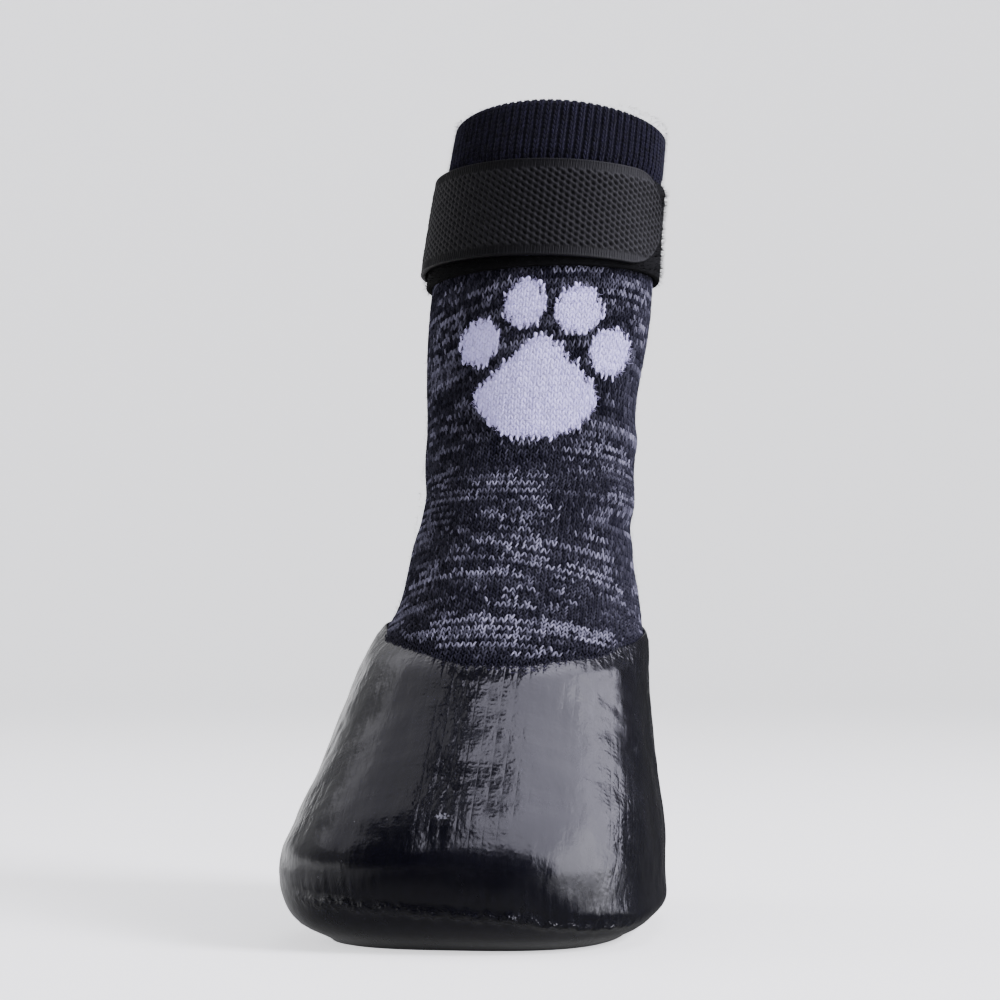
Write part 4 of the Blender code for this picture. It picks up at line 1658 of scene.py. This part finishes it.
@dataclass
class HookStrap:
    """The hook tape over the loop tape, woven with a diagonal relief, from the back round to a round tip.

    Stretch is how much longer the way along the tape is than along the knit under it.
    """

    last: Last
    seat: float = GAP + LOOP_TAPE + GAP
    stations: int = 560
    tip_share: float = 0.30
    relief: float = 0.50
    selvedge: float = 2.2
    thread: float = 0.60
    pitch: float = 1.27
    slope: float = -0.66
    stretch: float = 1.09

    def build(self, finish: Material) -> None:
        """The whole tape as one closed band."""
        outline = TapeOutline(self.seat, HOOK_TAPE - 0.08).points()
        bm, station, row = tape_grid(self.stations, outline)
        share, offset = np.array(outline)[row].T
        angle, narrow = self.layout(station)
        angles, walked = tape_way(self.last, HOOK_TAPE_MIDDLE)
        along = np.interp(angle, angles, walked) * self.stretch
        across = share * narrow * TAPE_WIDTH / 2
        face = offset > self.seat + HOOK_TAPE * 0.85
        to_edge = TAPE_WIDTH / 2 * (1 - np.abs(share)) * narrow
        weave = self.weave(along, across)
        rim = np.clip(to_edge / 0.5, 0.0, 1.0) * eased(along, along.max() - 0.1, along.max() - 0.6)
        raised = np.where(face, (weave - 0.75) * self.relief * rim, 0.0)
        points = self.last.skin(HOOK_TAPE_MIDDLE + across, angle, offset + raised)
        # The weave's height also paints the tape's colour: painted shade in its holes, 0.4 off its face.
        for name, values in (("weave", np.where(face, weave, 0.4)), ("along", along)):
            layer = bm.verts.layers.float.new(name)
            for vert, value in zip(bm.verts, values):
                vert[layer] = value
        mesh = close_tape(bm, points, "hook_tape")
        Dressing(finish, "woven_tape", "hook_strap").put_on("hook_tape", mesh)

    def layout(self, station: Array) -> tuple[Array, Array]:
        """Each station's angle and its share of the full width, narrowing to the round tip."""
        body = int(self.stations * (1 - self.tip_share * 0.42))
        body_end = STRAP_TIP - TIP_LENGTH
        step = np.clip(station / body, 0.0, 1.0)
        tip = np.clip((station - body) / (self.stations - body), 0.0, 1.0)
        reach = np.sin(0.47 * math.pi * tip)
        angle = STRAP_START + (body_end - STRAP_START) * step + TIP_LENGTH * reach
        return angle, np.sqrt(1 - reach**2)

    def weave(self, along: Array, across: Array) -> Array:
        """The weave's height, 0 in the holes and 1 on the crossings, with ribbed selvedges."""
        places = np.stack([along, across, np.zeros(len(along))], axis=1)
        drift = 0.05 * Unevenness(51, 5.0).at(places)
        upright = 0.5 + 0.5 * np.cos(FULL_TURN * (along / self.pitch + drift))
        slanted = 0.5 + 0.5 * np.cos(FULL_TURN * ((across - self.slope * along) / self.pitch - drift))
        body = 1 - (1 - upright**1.4 * 0.70) * (1 - slanted**1.2)
        body = body * (0.72 + 0.28 * eased(along, along.min() + 40.0, along.max() - 12.0))
        body = body + 0.10 * Unevenness(52, 1.6).at(places) * body
        ribs = 0.34 + 0.14 * np.cos(FULL_TURN * along / self.thread)
        inner = eased(TAPE_WIDTH / 2 - np.abs(across), self.selvedge - 0.5, self.selvedge + 0.3)
        return np.clip(body * inner + ribs * (1 - inner), 0.0, 1.1)


@dataclass
class StrapSewing:
    """The bar of stitches that holds the hook tape's hidden end to the loop tape."""

    last: Last
    seat: float = GAP + LOOP_TAPE + GAP + HOOK_TAPE + 0.02
    stitch: float = 2.2
    thread: float = 0.22
    radius: float = 26.0

    def build(self, finish: Material) -> None:
        """Two upright rows and a cross of lockstitches near the end at the back."""
        rows = []
        for offset in (3.0, 12.0):
            rows += [(offset, offset, low, low + self.stitch) for low in np.arange(-8.4, 8.0, 2.6)]
        for low in (-8.4, 8.0):
            rows += [(start, start + self.stitch, low, low) for start in np.arange(3.2, 11.0, 2.7)]
        ends = np.array(rows)
        grain = Grain.rice(6, 6)
        x, y, z = grain.points.T
        along = (z + 1) / 2
        start = ends[:, 0:1] + (ends[:, 1:2] - ends[:, 0:1]) * along
        across = ends[:, 2:3] + (ends[:, 3:4] - ends[:, 2:3]) * along
        upright = (ends[:, 0] == ends[:, 1])[:, None]
        start = start + np.where(upright, self.thread * x, 0.0)
        across = across + np.where(upright, 0.0, self.thread * x)
        angle = STRAP_START + start / self.radius
        rise = self.seat + 0.16 * y - 0.22 * np.abs(z) ** 4
        points = self.last.skin(HOOK_TAPE_MIDDLE + across, angle, np.broadcast_to(rise, across.shape))
        mesh = grain.join("strap_sewing", points)
        add_values(mesh, "lightness", np.full(len(mesh.vertices), 0.3))
        Dressing(finish, "woven_tape").put_on("strap_sewing", mesh)


CUFF_FUZZ = Fibres("cuff_fuzz", (0.6, 2.1), 0.034, offset=0.35, slant=0.5)
LEG_FUZZ = Fibres("leg_fuzz", (0.5, 1.5), 0.030, offset=-0.05, slant=0.8)
PAW_FUZZ = Fibres("paw_fuzz", (0.8, 1.7), 0.055, offset=-0.06, slant=2.5)


@dataclass
class YarnFuzz:
    """Loose fibres standing off the cuff and the leg, most of the paw's at its edges."""

    last: Last
    paw: PawMotif = field(default_factory=PawMotif)
    cuff_fibres: int = 4200
    leg_fibres: int = 3200
    paw_fibres: int = 2600
    cuff_foot: float = 151.0
    leg_top: float = 132.0
    paw_levels: Pair = (96.0, 130.0)
    paw_reach: Pair = (-24.0, 26.0)
    seed: int = 77

    def build(self, cuff: Material, leg: Material, paw: Material) -> None:
        """The three coats of fuzz, each its own piece."""
        draw = np.random.default_rng(self.seed)
        angle = draw.uniform(0.0, FULL_TURN, self.cuff_fibres)
        height = draw.uniform(self.cuff_foot, COLLAR - 0.4, self.cuff_fibres)
        self._grow(CUFF_FUZZ, height, angle, Dressing(cuff, "navy_yarn"), draw)
        angle = draw.uniform(0.0, FULL_TURN, self.leg_fibres)
        height = draw.uniform(DIP_LINE + 3.0, self.leg_top, self.leg_fibres)
        self._grow(LEG_FUZZ, height, angle, Dressing(leg, "marled_yarn"), draw)
        tries = 9 * self.paw_fibres
        angle = self.paw.middle + draw.uniform(*self.paw_reach, tries) / self.paw.radius
        height = draw.uniform(*self.paw_levels, tries)
        kept = draw.random(len(height)) < 0.25
        for up, along in ((1.0, 0.0), (-1.0, 0.0), (0.0, 1.0), (0.0, -1.0)):
            kept |= ~self.paw.covers(height + up, angle + along / self.paw.radius)
        chosen = np.flatnonzero(self.paw.covers(height, angle) & kept)[: self.paw_fibres]
        self._grow(PAW_FUZZ, height[chosen], angle[chosen], Dressing(paw), draw)

    def _grow(self, fuzz: Fibres, height: Array, angle: Array, dressing: Dressing, draw: Draw) -> None:
        """One coat of fuzz, a fibre at each place."""
        root = self.last.skin(height, angle, fuzz.offset)
        outward = self.last.outward(height, angle)
        lean = draw.normal(size=root.shape)
        lean -= (lean * outward).sum(axis=1, keepdims=True) * outward
        dressing.put_on(fuzz.name, fibre_mesh(fuzz, root, outward + fuzz.slant * lean, draw))


# ---------------- studio


DAYLIGHT = (0.97, 0.97, 1.0, 1.0)
PAPER = (0.84, 0.84, 0.85)
PALE_PAPER = (0.88, 0.88, 0.89)
UNLIT = (0.003, 0.003, 0.003)
VIOLET = (0.85, 0.83, 1.0)
PALE = (0.93, 0.91, 1.0)


class Shines(Enum):
    """What a soft box lights: it shows in glossy surfaces, or it lights matt ones."""

    GLOSS = "gloss"
    MATT = "matt"


@dataclass(frozen=True)
class SoftBox:
    """A soft light: its place, its size in metres, its power, what it shines on and where it points."""

    name: str
    place: Point
    size: Pair
    watts: float
    shines: Shines
    aim: Point = (0.0, -0.03, 0.06)
    colour: Colour = PALE

    def stand(self) -> None:
        """Puts the light up."""
        light = bpy.data.lights.new(self.name, "AREA")
        light.shape = "RECTANGLE"
        light.size, light.size_y = self.size
        light.energy = self.watts
        light.color = self.colour
        lamp = bpy.data.objects.new(self.name, light)
        lamp.location = self.place
        lamp.rotation_euler = (Vector(self.aim) - Vector(self.place)).to_track_quat("-Z", "Y").to_euler()
        lamp.visible_diffuse = self.shines is Shines.MATT
        lamp.visible_glossy = self.shines is Shines.GLOSS
        bpy.context.scene.collection.objects.link(lamp)


def canopy(name: str, x: float, y: float, size: Pair, watts: float, colour: Colour) -> SoftBox:
    """A box a metre up that faces straight down and shows in gloss."""
    return SoftBox(name, (x, y, 1.0), size, watts, Shines.GLOSS, (x, y, 0.0), colour)


def wall(name: str, y: float, height: float, size: Pair, watts: float) -> SoftBox:
    """A box that stands upright on the +X side and shows in gloss."""
    return SoftBox(name, (0.95, y, height), size, watts, Shines.GLOSS, (0.0, y, height), VIOLET)


@dataclass
class Studio:
    """The pale floor that curves up all round, the soft lights and the camera.

    The floor glows. The camera sees the whole glow, and matt surfaces get a share of it, one on the -X side
    and another on the +X side. What gloss shows of it goes by place: shine is the share close to the sock's
    right, and the others are those farther right, to the left, far to the left and under the toe.
    """

    floor_radius: float = 2.2
    curve: float = 1.2
    height: float = 3.2
    glow: float = 1.1
    matt_shares: Pair = (0.34, 0.12)
    shine: float = 0.09
    shine_under: float = 0.15
    shine_left: float = 0.55
    shine_far_left: float = 0.8
    shine_right: float = 2.0
    azimuth: float = math.radians(9.0)
    distance: float = 0.600
    camera_height: float = 0.055
    lens: float = 102.0
    look_at: Point = (0.0, -0.035, 0.084)
    boxes: tuple[SoftBox, ...] = (
        canopy("canopy_right", 0.545, 0.325, (0.85, 1.05), 11.8, VIOLET),
        canopy("canopy_near", 0.435, -0.525, (1.07, 0.65), 9.1, VIOLET),
        wall("wall_right_high", 0.01, 0.72, (1.90, 0.55), 15.6),
        wall("wall_right_low", -0.13, 0.22, (1.36, 0.44), 8.6),
        canopy("canopy_left", -0.74, 0.45, (0.95, 1.50), 3.6, PALE),
        SoftBox("key_right", (1.18, -0.48, 0.78), (0.60, 0.60), 46.0, Shines.MATT),
        SoftBox("fill_left", (-1.15, 0.15, 0.60), (0.80, 0.80), 5.5, Shines.MATT),
        SoftBox("top", (0.10, 0.10, 1.50), (1.20, 1.20), 10.0, Shines.MATT),
    )

    def build(self) -> None:
        """Floor, world, lights and camera."""
        self.build_floor()
        self.build_world()
        for box in self.boxes:
            box.stand()
        self.build_camera()

    def build_floor(self) -> None:
        """A pale bowl turned from its profile, flat where the sock stands."""
        bend = [(math.sin(turn), 1 - math.cos(turn)) for turn in np.linspace(0.0, math.pi / 2, 14)]
        rise = [(self.floor_radius + self.curve * out, self.curve * up) for out, up in bend]
        profile = [(0.0, 0.0), (0.4, 0.0), *rise, (self.floor_radius + self.curve, self.height)]
        bm = lathe([(out, 0.0, up) for out, up in profile], 96, closed=False, merge=1e-5)
        bmesh.ops.reverse_faces(bm, faces=bm.faces)
        floor = mesh_object("studio_floor", as_mesh(bm, "studio_floor"))
        floor.data.materials.append(self.paper())

    def paper(self) -> Material:
        """The floor's glowing paper, dark to gloss apart from its shine."""
        bench = Coat("studio_paper")
        place = bench.object_place()
        path = bench.node("ShaderNodeLightPath").outputs
        paper = bench.mix(bench.noise(place, 40.0), PAPER, PALE_PAPER)
        colour = bench.mix(path["Is Glossy Ray"], paper, UNLIT)
        x, y, z = bench.split(place)
        matt_share = bench.span(x, -0.1, 0.25, *self.matt_shares)
        matt = bench.times(path["Is Diffuse Ray"], bench.rest(matt_share))
        gloss = bench.times(path["Is Glossy Ray"], bench.rest(self.shine_share(bench, x, y, z)))
        seen = bench.math("SUBTRACT", bench.rest(matt), gloss)
        glowing = {"Emission_Color": DAYLIGHT, "Emission_Strength": bench.times(seen, self.glow)}
        material = bench.finish(colour, 0.9, 0.1, **glowing)
        material.cycles.emission_sampling = "NONE"
        return material

    def shine_share(self, bench: Bench, x: Socket, y: Socket, z: Socket) -> Socket:
        """How much of the paper's glow gloss shows, by the place on the paper."""
        beside = bench.math("MULTIPLY_ADD", x, -0.7, y)
        left = bench.span(x, -0.03, -0.08, 0.0, self.shine_left)
        left = bench.times(left, bench.span(beside, -0.25, -0.10, 0.15, 1.0))
        far = bench.span(x, -0.4, -1.2, 0.0, self.shine_far_left)
        far = bench.times(far, bench.span(beside, -0.1, 0.2))
        left = bench.times(bench.plus(left, far), bench.span(z, 0.3, 0.9, 1.0, 0.2))
        behind = bench.math("MULTIPLY_ADD", x, -0.45, y)
        ahead = bench.math("MULTIPLY_ADD", x, 0.67, y)
        right = bench.span(x, 0.045, 0.14, self.shine, self.shine_right)
        right = bench.times(right, bench.span(behind, -0.11, -0.05, 1.0, 0.03))
        right = bench.times(right, bench.span(ahead, -0.15, -0.08, 0.03, 1.0))
        under = bench.span(y, -0.140, -0.112, 0.0, self.shine_under)
        under = bench.times(under, bench.span(x, 0.02, 0.045, 1.0, 0.0))
        under = bench.times(under, bench.span(x, -0.10, -0.045, 0.60, 1.0))
        around = bench.plus(left, bench.math("MAXIMUM", right, self.shine * 0.3))
        return bench.plus(around, under)

    def build_world(self) -> None:
        """Pale surroundings that light softly and show dimly in gloss."""
        world = bpy.data.worlds.new("studio_world")
        world.use_nodes = True
        bench = Bench(world.node_tree)
        background = world.node_tree.nodes["Background"]
        path = bench.node("ShaderNodeLightPath").outputs
        gloss = bench.times(path["Is Glossy Ray"], 0.95)
        matt = bench.times(path["Is Diffuse Ray"], 1 - sum(self.matt_shares) / 2)
        seen = bench.math("SUBTRACT", bench.rest(gloss), matt)
        background.inputs["Color"].default_value = DAYLIGHT
        bench.feed(background.inputs["Strength"], seen)
        bpy.context.scene.world = world

    def build_camera(self) -> None:
        """The camera at the sock's own viewing angle."""
        camera = bpy.data.cameras.new("camera")
        camera.lens = self.lens
        camera.clip_start = 0.01
        camera.clip_end = 30.0
        stand = bpy.data.objects.new("camera", camera)
        across, back = math.sin(self.azimuth), -math.cos(self.azimuth)
        place = Vector((self.distance * across, self.distance * back, self.camera_height))
        stand.location = place
        stand.rotation_euler = (Vector(self.look_at) - place).to_track_quat("-Z", "Y").to_euler()
        bpy.context.scene.collection.objects.link(stand)
        bpy.context.scene.camera = stand


def main() -> None:
    """Builds the sock's layers in order, then the studio."""
    logging.basicConfig(level=logging.INFO, format="%(message)s")
    last = Last(SECTIONS)
    spindle = Spindle(last)
    fabric = LegFabric(last)
    effects = Effects()

    marl = YarnFinish("marled yarn", (0.0034, 0.0031, 0.0100), (0.305, 0.298, 0.408)).material(effects)
    white = YarnFinish("white yarn", (0.365, 0.332, 0.51), (0.55, 0.512, 0.83), 0.05).material(effects)
    navy = YarnFinish("navy yarn", (0.0022, 0.0020, 0.0060), (0.0088, 0.0075, 0.0220), sheen=0.02)
    navy = navy.material(effects)
    purl = PurlFinish("marled purl", (0.0032, 0.0030, 0.0085), (0.052, 0.050, 0.070), (0.54, 0.505, 0.78))
    purl = purl.material(effects)
    thread = YarnFinish("black thread", (0.002, 0.002, 0.002), (0.012, 0.012, 0.013)).material(effects)
    rubber = RubberFinish("dipped rubber").material(effects)
    tape = TapeFinish("woven tape").material(effects)
    pile = PileFinish("loop pile", (0.0006, 0.0006, 0.0008), (0.0028, 0.0028, 0.0034)).material(effects)
    navy_fuzz = PileFinish("navy fuzz", (0.004, 0.0035, 0.010), (0.034, 0.030, 0.062)).material(effects)
    grey_fuzz = PileFinish("grey fuzz", (0.006, 0.006, 0.010), (0.080, 0.080, 0.100)).material(effects)
    white_fuzz = PileFinish("white fuzz", (0.48, 0.445, 0.70), (0.58, 0.54, 0.84)).material(effects)

    leg = KnitLeg(last, spindle, fabric)
    leg.build_ground(purl)
    leg.build_stitches(marl, white)
    cuff = RibCuff(last, spindle)
    cuff.build_ground(navy)
    cuff.build_stitches(navy)
    RubberFoot(last, spindle, fabric).build(rubber)
    loop = LoopStrap(last)
    loop.build_band(pile)
    loop.build_pile(pile)
    HookStrap(last).build(tape)
    StrapSewing(last).build(thread)
    YarnFuzz(last).build(navy_fuzz, grey_fuzz, white_fuzz)
    Studio().build()


if __name__ == "__main__":
    main()
